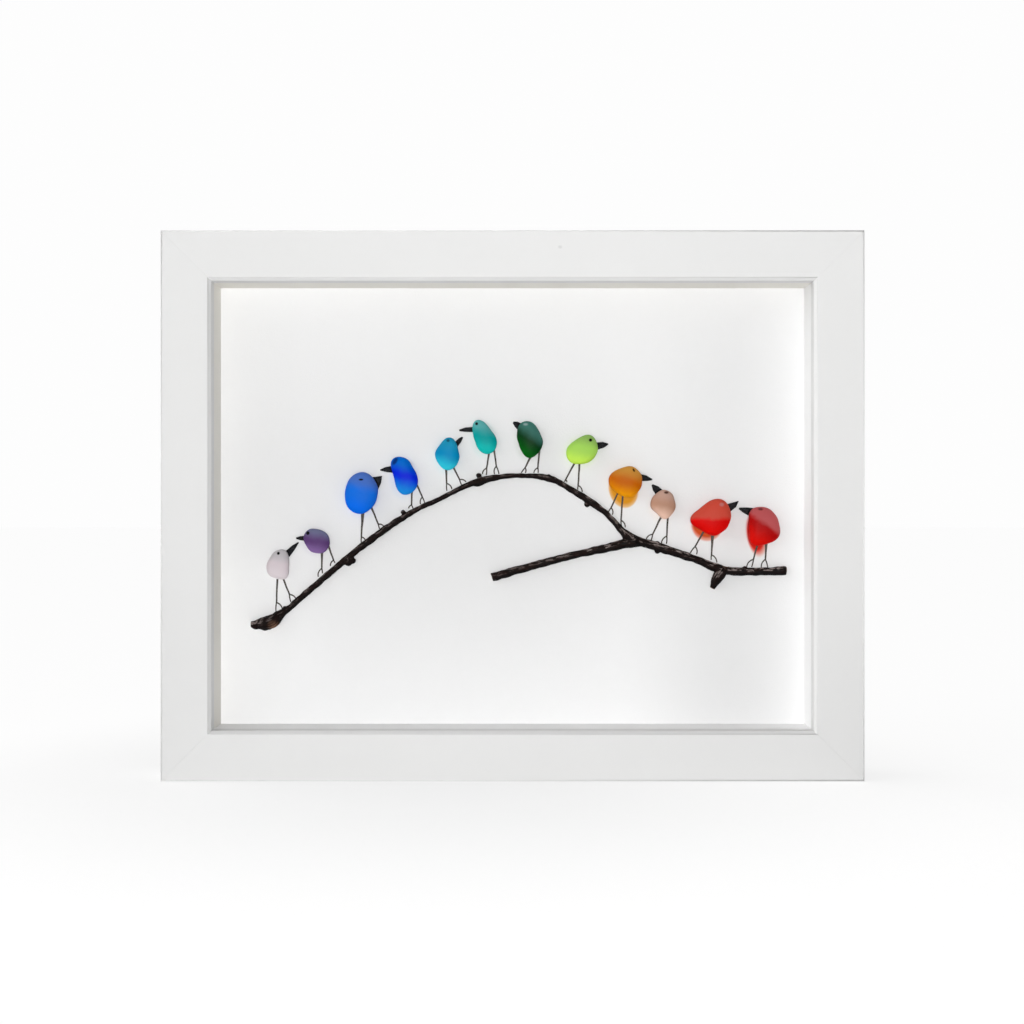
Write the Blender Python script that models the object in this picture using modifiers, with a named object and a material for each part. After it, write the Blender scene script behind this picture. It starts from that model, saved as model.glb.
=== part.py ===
"""Framed sea glass art: a white box frame whose card carries a real twig and a row of pebble birds.

Metres, +Z up. The picture faces -Y and its right-hand side is +X. The origin is under the middle of
the frame, on the surface that it stands on.
"""

import math
from dataclasses import dataclass

import bmesh
import bpy
import numpy as np
from mathutils import Matrix, Vector

MM = 0.001

# Box frame
FRAME_WIDTH = 341 * MM
FRAME_HEIGHT = 267 * MM
RAIL_FACE = 24.5 * MM  # from the outer edge to the sight edge
SIGHT_BEVEL = 1.5 * MM
LIP_THICKNESS = 8 * MM  # front part of each rail, which covers the edge of what lies behind it
LIP_OVERLAP = 6 * MM

# What is stacked behind the lip, from the front face of the frame to its back
CARD_RECESS = 26 * MM
CARD_THICKNESS = 2 * MM
BOARD_THICKNESS = 3 * MM
BACK_RECESS = 6.7 * MM

# Fits
FIT_GAP = 0.3 * MM  # between pieces that touch
SHEET_CLEARANCE = 0.5 * MM  # around the card and the back board
SPACER_SETBACK = 0.5 * MM  # how far a spacer stays back from the sight edge

# Tabs that hold the back board
TAB_WIDTH = 9 * MM
TAB_THICKNESS = 0.8 * MM
TAB_BITE = 6 * MM  # into the rail
TAB_REACH = 10 * MM  # over the board
TAB_CORNER_DISTANCE = 55 * MM

# Toothed hanger, riveted to the back board
HANGER_WIDTH = 44 * MM
HANGER_HEIGHT = 11 * MM
HANGER_THICKNESS = 0.8 * MM
HANGER_FOOT = 9 * MM  # flat end that a rivet goes through
HANGER_SLOPE = 1.8 * MM
HANGER_LIFT = 1.6 * MM  # of its middle, off the board
HANGER_DROP = 18 * MM  # from the board's top edge to the middle of the hanger
HANGER_TEETH = 8
HANGER_TOOTH_MARGIN = 0.6 * MM  # from the bends to the first and last notch
HANGER_TOOTH_DEPTH = 1.6 * MM
HANGER_TOOTH_TIP = 0.4 * MM  # width left at the end of a tooth
RIVET_RADIUS = 1.5 * MM
RIVET_HEAD_RADIUS = 2.8 * MM
RIVET_HEAD_THICKNESS = 1 * MM
RIVET_HEAD_CHAMFER = 0.6 * MM

# The art is laid out in millimetres around the middle of the card, x to the right and z up, for the
# twig at its real length. Its pose and proportions follow the twig's length in this frame.
TWIG_LEFT_MARGIN = 16.1 * MM  # from the sight edge to the end of the stem's middle line
TWIG_RIGHT_MARGIN = 9.2 * MM
KNOB_DEPTH = 1.9 * MM  # from the glued side of the twig to the middle of a bud or knot
STEM = (  # x, z and radius along the main stem, from its torn heel to its cut end
    (-129.9, -60.0, 1.7),
    (-124.7, -58.8, 3.1),
    (-119.5, -57.0, 3.5),
    (-114.2, -52.7, 2.1),
    (-106.1, -46.1, 1.6),
    (-81.3, -25.0, 1.7),
    (-63.8, -11.8, 1.8),
    (-49.8, -2.8, 1.4),
    (-36.3, 3.7, 1.3),
    (-21.8, 10.7, 1.4),
    (-12.8, 13.5, 1.6),
    (-1.3, 15.1, 1.3),
    (8.7, 15.1, 1.2),
    (17.2, 14.1, 1.8),
    (25.2, 10.7, 1.5),
    (38.2, 2.5, 1.8),
    (46.6, -3.5, 1.5),
    (52.9, -10.2, 1.6),
    (57.8, -15.3, 2.5),
    (63.7, -17.7, 2.1),
    (79.7, -22.7, 2.2),
    (92.2, -27.0, 1.9),
    (102.0, -30.9, 2.3),
    (110.0, -32.6, 2.2),
    (128.7, -32.6, 2.1),
    (136.8, -32.2, 2.4),
)
BRANCH = (  # the side branch, from the fork back to the left
    (59.0, -17.6, 2.3),
    (53.7, -19.4, 2.4),
    (43.7, -21.7, 2.1),
    (34.7, -23.7, 1.9),
    (23.7, -26.2, 2.0),
    (7.7, -30.6, 2.0),
    (-9.3, -35.4, 2.2),
)
STUB = (  # a short broken twiglet below the right-hand end
    (104.6, -31.6, 2.2),
    (102.3, -35.0, 3.0),
    (100.2, -38.8, 2.2),
    (99.1, -42.0, 1.1),
)
KNOBS = (  # buds and knots: x, z and radius
    (-81.6, -28.2, 1.5),
    (-54.6, -3.2, 1.4),
    (-16.8, 15.2, 1.5),
    (18.0, 14.6, 1.5),
    (37.3, 0.9, 1.5),
)

# Birds
PEBBLE_FLATNESS = 0.5  # thickness to the lesser width
PEBBLE_BACK = 0.75  # how much of the back half is left, where the pebble is glued flat
PEBBLE_ROUNDING = 2.5  # 2 is an ellipsoid, and more is a blunter edge
BEAK_THICKNESS = 1.8 * MM
BEAK_BEVEL = 0.25 * MM
GLASS_ROUGHNESS = 0.45
GLASS_CLEARNESS = 0.6

# How fine the round pieces are
PEBBLE_SEGMENTS = 18
PEBBLE_RINGS = 10
ROUND_SEGMENTS = 16
KNOB_SEGMENTS = 8
KNOB_RINGS = 6
CURVE_STEPS = 3  # along a twig's curve, between two of its points
CURVE_BEVEL_STEPS = 2
ROOT_POINTS = 4  # along the root of a beak
OUTLINE_SAMPLES = 720
WELD = 0.001 * MM

SIGHT_WIDTH = FRAME_WIDTH - 2 * RAIL_FACE
REBATE_INSET = RAIL_FACE - LIP_OVERLAP  # from the outer edge to the rebate's wall
REBATE_WIDTH = FRAME_WIDTH - 2 * REBATE_INSET
REBATE_HEIGHT = FRAME_HEIGHT - 2 * REBATE_INSET
SPACER_INSET = RAIL_FACE - SPACER_SETBACK  # from the outer edge to a spacer's inner face
BOARD_FRONT = CARD_RECESS + CARD_THICKNESS + FIT_GAP
BOARD_BACK = BOARD_FRONT + BOARD_THICKNESS
FRAME_DEPTH = BOARD_BACK + BACK_RECESS
FRONT_Y = -FRAME_DEPTH / 2
CARD_Y = FRONT_Y + CARD_RECESS
BOARD_BACK_Y = FRONT_Y + BOARD_BACK
MIDDLE_Z = FRAME_HEIGHT / 2
TWIG_LENGTH = SIGHT_WIDTH - TWIG_LEFT_MARGIN - TWIG_RIGHT_MARGIN
ART_MM = TWIG_LENGTH / (STEM[-1][0] - STEM[0][0])
ART_MIDDLE_X = TWIG_LEFT_MARGIN - SIGHT_WIDTH / 2 - STEM[0][0] * ART_MM


@dataclass(frozen=True)
class Finish:
    """What a material looks like."""

    name: str
    colour: tuple
    roughness: float
    metallic: float = 0.0
    clearness: float = 0.0


@dataclass(frozen=True)
class Beak:
    """A chip of dark stone beside a pebble. Directions are from the pebble's middle, in degrees from +X
    towards +Z, and the sizes are in the art's millimetres."""

    root_from: float
    root_to: float
    towards: float
    reach: float  # from the pebble's middle to the tip
    tip_width: float = 0.5


@dataclass(frozen=True)
class Pebble:
    """A worn piece of sea glass. It is as wide and high as stated before it leans to the right by lean
    degrees. taper widens its top, bow bends it sideways, and squareness 2 is an oval."""

    x: float
    z: float
    width: float
    height: float
    lean: float
    taper: float
    squareness: float
    bow: float


@dataclass(frozen=True)
class Bird:
    """A pebble for the body and a stone chip for the beak."""

    name: str
    colour: tuple
    pebble: Pebble
    beak: Beak


@dataclass(frozen=True)
class Side:
    """One side of the frame. A rail's own axes are inward, backward and along."""

    name: str
    inward: tuple
    middle: tuple  # of its outer edge, on the front face
    outer_length: float
    rebate_length: float

    def place(self):
        """The matrix that takes a rail's own axes to the frame."""
        inward = Vector(self.inward)
        backward = Vector((0, 1, 0))
        along = inward.cross(backward)
        turn = Matrix((inward, backward, along)).transposed()
        return Matrix.Translation(self.middle) @ turn.to_4x4()


WHITE_PAINT = Finish("white_paint", (0.80, 0.80, 0.80), 0.45)
SPACER_PAINT = Finish("spacer_paint", (0.78, 0.78, 0.77), 0.55)
CARD_PAPER = Finish("card_paper", (0.86, 0.86, 0.86), 0.85)
BOARD_WOOD = Finish("board_wood", (0.36, 0.22, 0.12), 0.75)
BARK = Finish("bark", (0.035, 0.022, 0.016), 0.6)
SLATE = Finish("slate", (0.02, 0.02, 0.022), 0.55)
STEEL = Finish("steel", (0.62, 0.62, 0.63), 0.3, metallic=1.0)
ZINC = Finish("zinc", (0.70, 0.68, 0.62), 0.35, metallic=1.0)

BIRDS = (
    Bird(
        "white",
        (0.72, 0.66, 0.70),
        Pebble(-116.3, -28.6, 10.8, 17.6, 8, -0.39, 2.3, 0.14),
        Beak(33, 64, 49, 13.8),
    ),
    Bird(
        "purple",
        (0.15, 0.05, 0.22),
        Pebble(-98.0, -17.4, 11.1, 13.4, -45, -0.16, 2.3, 0.05),
        Beak(160, 175, 173, 10.4),
    ),
    Bird(
        "blue",
        (0.03, 0.16, 0.66),
        Pebble(-75.4, 6.5, 16.4, 21.0, 6, -0.05, 1.8, -0.02),
        Beak(11, 56, 34, 12.0, tip_width=3.4),
    ),
    Bird(
        "deep_blue",
        (0.01, 0.05, 0.60),
        Pebble(-54.8, 15.5, 11.3, 20.3, -18, -0.19, 2.6, -0.42),
        Beak(148, 162, 168, 11.5, tip_width=0.4),
    ),
    Bird(
        "sky_blue",
        (0.01, 0.30, 0.50),
        Pebble(-32.6, 25.9, 16.3, 12.1, -82, -0.18, 1.8, -0.12),
        Beak(37, 56, 48, 11.2),
    ),
    Bird(
        "teal",
        (0.02, 0.36, 0.30),
        Pebble(-13.9, 33.5, 18.9, 10.8, 66, -0.1, 1.9, 0.32),
        Beak(136, 147, 161, 13.4),
    ),
    Bird(
        "dark_green",
        (0.005, 0.06, 0.03),
        Pebble(8.9, 33.1, 18.8, 12.9, 80, -0.28, 1.8, 0.05),
        Beak(121, 140, 134, 12.2, tip_width=0.6),
    ),
    Bird(
        "lime",
        (0.36, 0.66, 0.12),
        Pebble(35.8, 27.7, 16.9, 13.1, -35, 0.25, 2.4, 0.2),
        Beak(4, 33, 15, 12.3),
    ),
    Bird(
        "orange",
        (0.66, 0.18, 0.01),
        Pebble(57.2, 12.5, 16.6, 15.2, -2, 0.17, 1.8, 0.21),
        Beak(2, 27, 3, 12.5),
    ),
    Bird(
        "pink",
        (0.60, 0.34, 0.26),
        Pebble(75.9, 0.8, 12.4, 15.3, 6, 0.02, 1.8, 0.23),
        Beak(99, 130, 122, 11.6),
    ),
    Bird(
        "scarlet",
        (0.62, 0.02, 0.01),
        Pebble(100.0, -6.6, 18.0, 14.8, -38, 0.36, 3.2, -0.27),
        Beak(22, 47, 35, 15.7, tip_width=1.0),
    ),
    Bird(
        "crimson",
        (0.50, 0.01, 0.01),
        Pebble(124.6, -9.4, 14.9, 19.4, -10, -0.21, 3.1, -0.25),
        Beak(118, 143, 144, 14.0, tip_width=0.6),
    ),
)

SIDES = (
    Side("top", (0, 0, -1), (0, FRONT_Y, FRAME_HEIGHT), FRAME_WIDTH, REBATE_WIDTH),
    Side("bottom", (0, 0, 1), (0, FRONT_Y, 0), FRAME_WIDTH, REBATE_WIDTH),
    Side("left", (1, 0, 0), (-FRAME_WIDTH / 2, FRONT_Y, MIDDLE_Z), FRAME_HEIGHT, REBATE_HEIGHT),
    Side("right", (-1, 0, 0), (FRAME_WIDTH / 2, FRONT_Y, MIDDLE_Z), FRAME_HEIGHT, REBATE_HEIGHT),
)


def empty_scene():
    """Remove what the file opened with."""
    for old in list(bpy.data.objects):
        bpy.data.objects.remove(old)


def collection_named(name):
    """A new collection in the scene."""
    group = bpy.data.collections.new(name)
    bpy.context.scene.collection.children.link(group)
    return group


def material_for(finish):
    """A Principled material for a finish, made once."""
    known = bpy.data.materials.get(finish.name)
    if known:
        return known
    material = bpy.data.materials.new(finish.name)
    material.use_nodes = True
    shader = material.node_tree.nodes["Principled BSDF"]
    shader.inputs["Base Color"].default_value = (*finish.colour, 1)
    shader.inputs["Roughness"].default_value = finish.roughness
    shader.inputs["Metallic"].default_value = finish.metallic
    shader.inputs["Transmission Weight"].default_value = finish.clearness
    material.diffuse_color = (*finish.colour, 1)
    return material


def add_piece(parts, name, mesh, finish, place=Matrix.Identity(4)):
    """Put a mesh in the parts collection as one named piece."""
    mesh.name = name
    piece = bpy.data.objects.new(name, mesh)
    piece.matrix_world = place
    mesh.materials.clear()
    mesh.materials.append(material_for(finish))
    parts.objects.link(piece)
    return piece


def combine(piece, cutters, name, mesh, place, operation):
    """Cut a mesh out of a piece, or join it on, with a Boolean modifier."""
    tool = bpy.data.objects.new(name, mesh)
    tool.matrix_world = place
    tool.hide_render = True
    tool.display_type = "WIRE"
    cutters.objects.link(tool)
    step = piece.modifiers.new(name, "BOOLEAN")
    step.operation = operation
    step.solver = "EXACT"
    step.object = tool


def mesh_of(shell):
    """Turn an edit mesh into mesh data."""
    mesh = bpy.data.meshes.new("shape")
    shell.to_mesh(mesh)
    shell.free()
    return mesh


def box_mesh(low, high):
    """A box between two opposite corners."""
    shell = bmesh.new()
    bmesh.ops.create_cube(shell, size=1)
    low, high = Vector(low), Vector(high)
    sizes = high - low
    bmesh.ops.scale(shell, vec=sizes, verts=shell.verts)
    bmesh.ops.translate(shell, vec=(low + high) / 2, verts=shell.verts)
    return mesh_of(shell)


def cylinder_mesh(radius, length):
    """A cylinder along Z, centred."""
    shell = bmesh.new()
    bmesh.ops.create_cone(
        shell,
        cap_ends=True,
        segments=ROUND_SEGMENTS,
        radius1=radius,
        radius2=radius,
        depth=length,
    )
    return mesh_of(shell)


def mesh_from_curve(curve):
    """The evaluated curve as a mesh whose caps are welded to its sides."""
    guide = bpy.data.objects.new("guide", curve)
    bpy.context.scene.collection.objects.link(guide)
    graph = bpy.context.evaluated_depsgraph_get()
    mesh = bpy.data.meshes.new_from_object(guide.evaluated_get(graph))
    bpy.data.objects.remove(guide)
    bpy.data.curves.remove(curve)
    shell = bmesh.new()
    shell.from_mesh(mesh)
    bmesh.ops.remove_doubles(shell, verts=shell.verts, dist=WELD)
    bmesh.ops.recalc_face_normals(shell, faces=shell.faces)
    shell.to_mesh(mesh)
    shell.free()
    return mesh


def outline_mesh(points, thickness):
    """A flat outline in the XY plane, given a thickness along Z."""
    curve = bpy.data.curves.new("outline", "CURVE")
    curve.dimensions = "2D"
    curve.fill_mode = "BOTH"
    curve.extrude = thickness / 2
    spline = curve.splines.new("POLY")
    spline.points.add(len(points) - 1)
    for point, (x, y) in zip(spline.points, points):
        point.co = (x, y, 0, 1)
    spline.use_cyclic_u = True
    return mesh_from_curve(curve)


def rail_section():
    """A rail's section: how far inward and how far back each corner is."""
    return (
        (0, 0),
        (RAIL_FACE - SIGHT_BEVEL, 0),
        (RAIL_FACE, SIGHT_BEVEL),
        (RAIL_FACE, LIP_THICKNESS),
        (REBATE_INSET, LIP_THICKNESS),
        (REBATE_INSET, FRAME_DEPTH),
        (0, FRAME_DEPTH),
    )


def mitred(mesh, length):
    """Cut both ends of a rail at 45 degrees, each back by half the gap at the corner."""
    setback = FIT_GAP / math.sqrt(2)
    shell = bmesh.new()
    shell.from_mesh(mesh)
    for end in (-1, 1):
        bmesh.ops.bisect_plane(
            shell,
            geom=shell.verts[:] + shell.edges[:] + shell.faces[:],
            plane_co=(0, 0, end * (length / 2 - setback)),
            plane_no=(1, 0, end),
            clear_outer=True,
        )
        open_edges = [edge for edge in shell.edges if edge.is_boundary]
        bmesh.ops.holes_fill(shell, edges=open_edges)
    bmesh.ops.recalc_face_normals(shell, faces=shell.faces)
    shell.to_mesh(mesh)
    shell.free()
    return mesh


def tab_box(along, clearance):
    """A tab, or with a clearance the slot that takes it, in a rail's own axes."""
    front = BOARD_BACK + FIT_GAP
    low = (
        REBATE_INSET - TAB_BITE - clearance,
        front - clearance,
        along - TAB_WIDTH / 2 - clearance,
    )
    high = (
        REBATE_INSET + TAB_REACH + clearance,
        front + TAB_THICKNESS + clearance,
        along + TAB_WIDTH / 2 + clearance,
    )
    return box_mesh(low, high)


def build_side(parts, cutters, side):
    """A mitred rail, with the tabs driven into its rebate wall."""
    mesh = mitred(outline_mesh(rail_section(), side.outer_length), side.outer_length)
    rail = add_piece(parts, f"rail_{side.name}", mesh, WHITE_PAINT, side.place())
    offset = side.rebate_length / 2 - TAB_CORNER_DISTANCE
    for number, along in enumerate((-offset, offset), start=1):
        name = f"tab_{side.name}_{number}"
        add_piece(parts, name, tab_box(along, 0), STEEL, side.place())
        slot = tab_box(along, FIT_GAP)
        combine(rail, cutters, f"slot_{name}", slot, side.place(), "DIFFERENCE")


def build_spacer(parts, side, length):
    """A strip behind the lip that keeps the card back from it."""
    low = (REBATE_INSET + FIT_GAP, LIP_THICKNESS + FIT_GAP, -length / 2)
    high = (SPACER_INSET, CARD_RECESS - FIT_GAP, length / 2)
    add_piece(parts, f"spacer_{side.name}", box_mesh(low, high), SPACER_PAINT, side.place())


def build_spacers(parts):
    """The long strips run from wall to wall, and the short ones fit between them."""
    long_length = REBATE_WIDTH - 2 * FIT_GAP
    short_length = FRAME_HEIGHT - 2 * SPACER_INSET - 2 * FIT_GAP
    for side in SIDES:
        is_long = side.name in ("top", "bottom")
        build_spacer(parts, side, long_length if is_long else short_length)


def sheet_mesh(front, thickness):
    """A sheet that fills the rebate, from how far back its front is."""
    half_width = REBATE_WIDTH / 2 - SHEET_CLEARANCE
    low = (-half_width, FRONT_Y + front, REBATE_INSET + SHEET_CLEARANCE)
    high = (half_width, FRONT_Y + front + thickness, FRAME_HEIGHT - REBATE_INSET - SHEET_CLEARANCE)
    return box_mesh(low, high)


def hanger_section():
    """The hanger's bent section, seen from above: x across it, and y away from the board."""
    half_width = HANGER_WIDTH / 2
    foot_edge = half_width - HANGER_FOOT
    lifted_edge = foot_edge - HANGER_SLOPE
    right = ((lifted_edge, HANGER_LIFT), (foot_edge, 0), (half_width, 0))
    inner = [(-x, y) for x, y in reversed(right)] + list(right)
    outer = [(x, y + HANGER_THICKNESS) for x, y in reversed(inner)]
    return inner + outer


def notch_mesh(width):
    """A cutter for the notch between two teeth. Its middle is on the hanger's lower edge."""
    outline = (
        (-width, -HANGER_TOOTH_DEPTH),
        (width, -HANGER_TOOTH_DEPTH),
        (0, HANGER_TOOTH_DEPTH),
    )
    return outline_mesh(outline, HANGER_HEIGHT)


def build_hanger(parts, cutters, x, y, z):
    """A bent plate against the back board, with teeth along the lower edge of its lifted middle."""
    mesh = outline_mesh(hanger_section(), HANGER_HEIGHT)
    hanger = add_piece(parts, "hanger", mesh, ZINC, Matrix.Translation((x, y, z)))
    toothed = HANGER_WIDTH / 2 - HANGER_FOOT - HANGER_SLOPE - HANGER_TOOTH_MARGIN
    pitch = 2 * toothed / HANGER_TEETH
    for number in range(HANGER_TEETH):
        middle = (x - toothed + (number + 0.5) * pitch, y + HANGER_LIFT, z - HANGER_HEIGHT / 2)
        place = Matrix.Translation(middle) @ Matrix.Rotation(math.pi / 2, 4, "X")
        notch = notch_mesh(pitch - HANGER_TOOTH_TIP)
        combine(hanger, cutters, f"notch_{number + 1}", notch, place, "DIFFERENCE")
    return hanger


def rivet_mesh():
    """A rivet turned about Z, with its head above Z = 0. Its shank ends just inside the back board."""
    head_top = FIT_GAP + RIVET_HEAD_THICKNESS
    shank_length = HANGER_THICKNESS + BOARD_THICKNESS
    profile = (
        (0, head_top),
        (RIVET_HEAD_RADIUS - RIVET_HEAD_CHAMFER, head_top),
        (RIVET_HEAD_RADIUS, head_top - RIVET_HEAD_CHAMFER),
        (RIVET_HEAD_RADIUS, FIT_GAP),
        (RIVET_RADIUS, FIT_GAP),
        (RIVET_RADIUS, -shank_length),
        (0, -shank_length),
    )
    shell = bmesh.new()
    ring = [shell.verts.new((radius, 0, height)) for radius, height in profile]
    for start, end in zip(ring, ring[1:]):
        shell.edges.new((start, end))
    bmesh.ops.spin(
        shell,
        geom=shell.verts[:] + shell.edges[:],
        axis=(0, 0, 1),
        cent=(0, 0, 0),
        angle=math.tau,
        steps=ROUND_SEGMENTS,
        use_merge=True,
    )
    bmesh.ops.remove_doubles(shell, verts=shell.verts, dist=WELD)
    bmesh.ops.recalc_face_normals(shell, faces=shell.faces)
    return mesh_of(shell)


def build_back(parts, cutters):
    """The back board, the toothed hanger and the two rivets that hold it."""
    board_mesh = sheet_mesh(BOARD_FRONT, BOARD_THICKNESS)
    board = add_piece(parts, "back_board", board_mesh, BOARD_WOOD)
    hanger_z = FRAME_HEIGHT - REBATE_INSET - SHEET_CLEARANCE - HANGER_DROP
    hanger_y = BOARD_BACK_Y + FIT_GAP
    hanger = build_hanger(parts, cutters, 0, hanger_y, hanger_z)
    face_back = Matrix.Rotation(-math.pi / 2, 4, "X")
    rivet_x = HANGER_WIDTH / 2 - HANGER_FOOT / 2
    hole_length = 4 * (BOARD_THICKNESS + HANGER_THICKNESS)  # well past both faces
    for name, x in (("rivet_left", -rivet_x), ("rivet_right", rivet_x)):
        rivet_place = Matrix.Translation((x, hanger_y + HANGER_THICKNESS, hanger_z)) @ face_back
        add_piece(parts, name, rivet_mesh(), STEEL, rivet_place)
        for piece in (board, hanger):
            hole = cylinder_mesh(RIVET_RADIUS + FIT_GAP, hole_length)
            combine(piece, cutters, f"hole_{name}", hole, rivet_place, "DIFFERENCE")


def art_place(x, depth, z):
    """A point of the art, with its depth in front of the glued side, in metres."""
    forward = FIT_GAP + depth * ART_MM
    return Vector((ART_MIDDLE_X + x * ART_MM, CARD_Y - forward, MIDDLE_Z + z * ART_MM))


def limb_mesh(points):
    """A round limb through points of x, z and radius that lies against the card."""
    curve = bpy.data.curves.new("limb", "CURVE")
    curve.dimensions = "3D"
    curve.bevel_depth = ART_MM
    curve.bevel_resolution = CURVE_BEVEL_STEPS
    curve.resolution_u = CURVE_STEPS
    curve.use_fill_caps = True
    spline = curve.splines.new("BEZIER")
    spline.radius_interpolation = "CARDINAL"
    spline.bezier_points.add(len(points) - 1)
    for point, (x, z, radius) in zip(spline.bezier_points, points):
        point.co = art_place(x, radius, z)
        point.radius = radius
        point.handle_left_type = "AUTO"
        point.handle_right_type = "AUTO"
    return mesh_from_curve(curve)


def knob_mesh(x, z, radius):
    """A bud or a knot on the twig."""
    shell = bmesh.new()
    bmesh.ops.create_uvsphere(
        shell, u_segments=KNOB_SEGMENTS, v_segments=KNOB_RINGS, radius=radius * ART_MM
    )
    middle = art_place(x, KNOB_DEPTH / ART_MM, z)
    bmesh.ops.translate(shell, vec=middle, verts=shell.verts)
    return mesh_of(shell)


def build_twig(parts, cutters):
    """One natural twig: stem, side branch, stub and knobs, joined."""
    twig = add_piece(parts, "twig", limb_mesh(STEM), BARK)
    still = Matrix.Identity(4)
    combine(twig, cutters, "side_branch", limb_mesh(BRANCH), still, "UNION")
    combine(twig, cutters, "stub", limb_mesh(STUB), still, "UNION")
    for number, knob in enumerate(KNOBS, start=1):
        combine(twig, cutters, f"knob_{number}", knob_mesh(*knob), still, "UNION")


def signed_power(value, power):
    """A power that keeps the sign."""
    return np.sign(value) * np.abs(value) ** power


def pebble_edge(pebble, turn):
    """Where a pebble's outline is at a turn in radians, from its middle, in the art's millimetres."""
    across = signed_power(np.cos(turn), 2 / pebble.squareness)
    up = signed_power(np.sin(turn), 2 / pebble.squareness)
    x = pebble.width / 2 * (across * (1 + pebble.taper * up) + pebble.bow * (up**2 - 0.5))
    z = pebble.height / 2 * up
    lean = math.radians(pebble.lean)
    return x * math.cos(lean) + z * math.sin(lean), z * math.cos(lean) - x * math.sin(lean)


def edge_towards(pebble, direction):
    """How far from the middle a pebble's outline is, in a direction in degrees from +X towards +Z."""
    x, z = pebble_edge(pebble, np.linspace(0, math.tau, OUTLINE_SAMPLES))
    away = np.angle(np.exp(1j * (np.arctan2(z, x) - math.radians(direction))))
    nearest = int(np.abs(away).argmin())
    return math.hypot(x[nearest], z[nearest])


def from_middle(direction, distance):
    """A point at a distance in a direction in degrees."""
    angle = math.radians(direction)
    return distance * math.cos(angle), distance * math.sin(angle)


def pebble_mesh(pebble):
    """A sphere shaped to the pebble's outline and flattened where it is glued."""
    half_thickness = PEBBLE_FLATNESS * min(pebble.width, pebble.height) / 2
    glued = PEBBLE_BACK * half_thickness
    shell = bmesh.new()
    bmesh.ops.create_uvsphere(
        shell, u_segments=PEBBLE_SEGMENTS, v_segments=PEBBLE_RINGS, radius=1
    )
    for vert in shell.verts:
        turn = math.atan2(vert.co.y, vert.co.x)
        spread = math.hypot(vert.co.x, vert.co.y) ** (2 / PEBBLE_ROUNDING)
        forward = half_thickness * signed_power(vert.co.z, 2 / PEBBLE_ROUNDING)
        x, z = pebble_edge(pebble, turn)
        depth = max(forward, -glued) + glued
        vert.co = art_place(pebble.x + x * spread, depth, pebble.z + z * spread)
    return mesh_of(shell)


def beak_outline(pebble, beak):
    """The beak's outline from the pebble's middle, in metres. Its root follows the pebble's edge."""
    gap = FIT_GAP / ART_MM
    points = [
        from_middle(direction, edge_towards(pebble, direction) + gap)
        for direction in np.linspace(beak.root_from, beak.root_to, ROOT_POINTS)
    ]
    tip_x, tip_z = from_middle(beak.towards, beak.reach)
    side_x, side_z = from_middle(beak.towards + 90, beak.tip_width / 2)
    points.append((tip_x + side_x, tip_z + side_z))
    points.append((tip_x - side_x, tip_z - side_z))
    return [(x * ART_MM, z * ART_MM) for x, z in points]


def build_bird(parts, bird):
    """A pebble, and the beak beside it, both against the card."""
    glass = Finish(f"glass_{bird.name}", bird.colour, GLASS_ROUGHNESS, clearness=GLASS_CLEARNESS)
    pebble = add_piece(parts, f"pebble_{bird.name}", pebble_mesh(bird.pebble), glass)
    for polygon in pebble.data.polygons:
        polygon.use_smooth = True
    mesh = outline_mesh(beak_outline(bird.pebble, bird.beak), BEAK_THICKNESS)
    middle = art_place(bird.pebble.x, 0, bird.pebble.z) - Vector((0, BEAK_THICKNESS / 2, 0))
    place = Matrix.Translation(middle) @ Matrix.Rotation(math.pi / 2, 4, "X")
    beak = add_piece(parts, f"beak_{bird.name}", mesh, SLATE, place)
    edge = beak.modifiers.new("edge", "BEVEL")
    edge.width = BEAK_BEVEL
    edge.segments = 1


def main():
    """Build the frame, what is stacked in it, the twig and the birds."""
    empty_scene()
    parts = collection_named("framed_sea_glass_art")
    cutters = collection_named("cutters")
    for side in SIDES:
        build_side(parts, cutters, side)
    build_spacers(parts)
    add_piece(parts, "card", sheet_mesh(CARD_RECESS, CARD_THICKNESS), CARD_PAPER)
    build_back(parts, cutters)
    build_twig(parts, cutters)
    for bird in BIRDS:
        build_bird(parts, bird)


main()
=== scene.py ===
"""The looks of the framed sea glass art: a white box frame, its card, a twig and twelve pebble birds.

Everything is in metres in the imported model's frame, with +Z up and the picture facing -Y. The art itself
is laid out in millimetres around the middle of the card: x to the right, z up, depth towards the front.
"""

import logging
import math
from collections.abc import Sequence
from dataclasses import dataclass
from enum import Enum
from functools import cached_property
from typing import Any

import bmesh
import bpy
import numpy as np
from mathutils import Matrix, Vector, kdtree, noise

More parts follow.
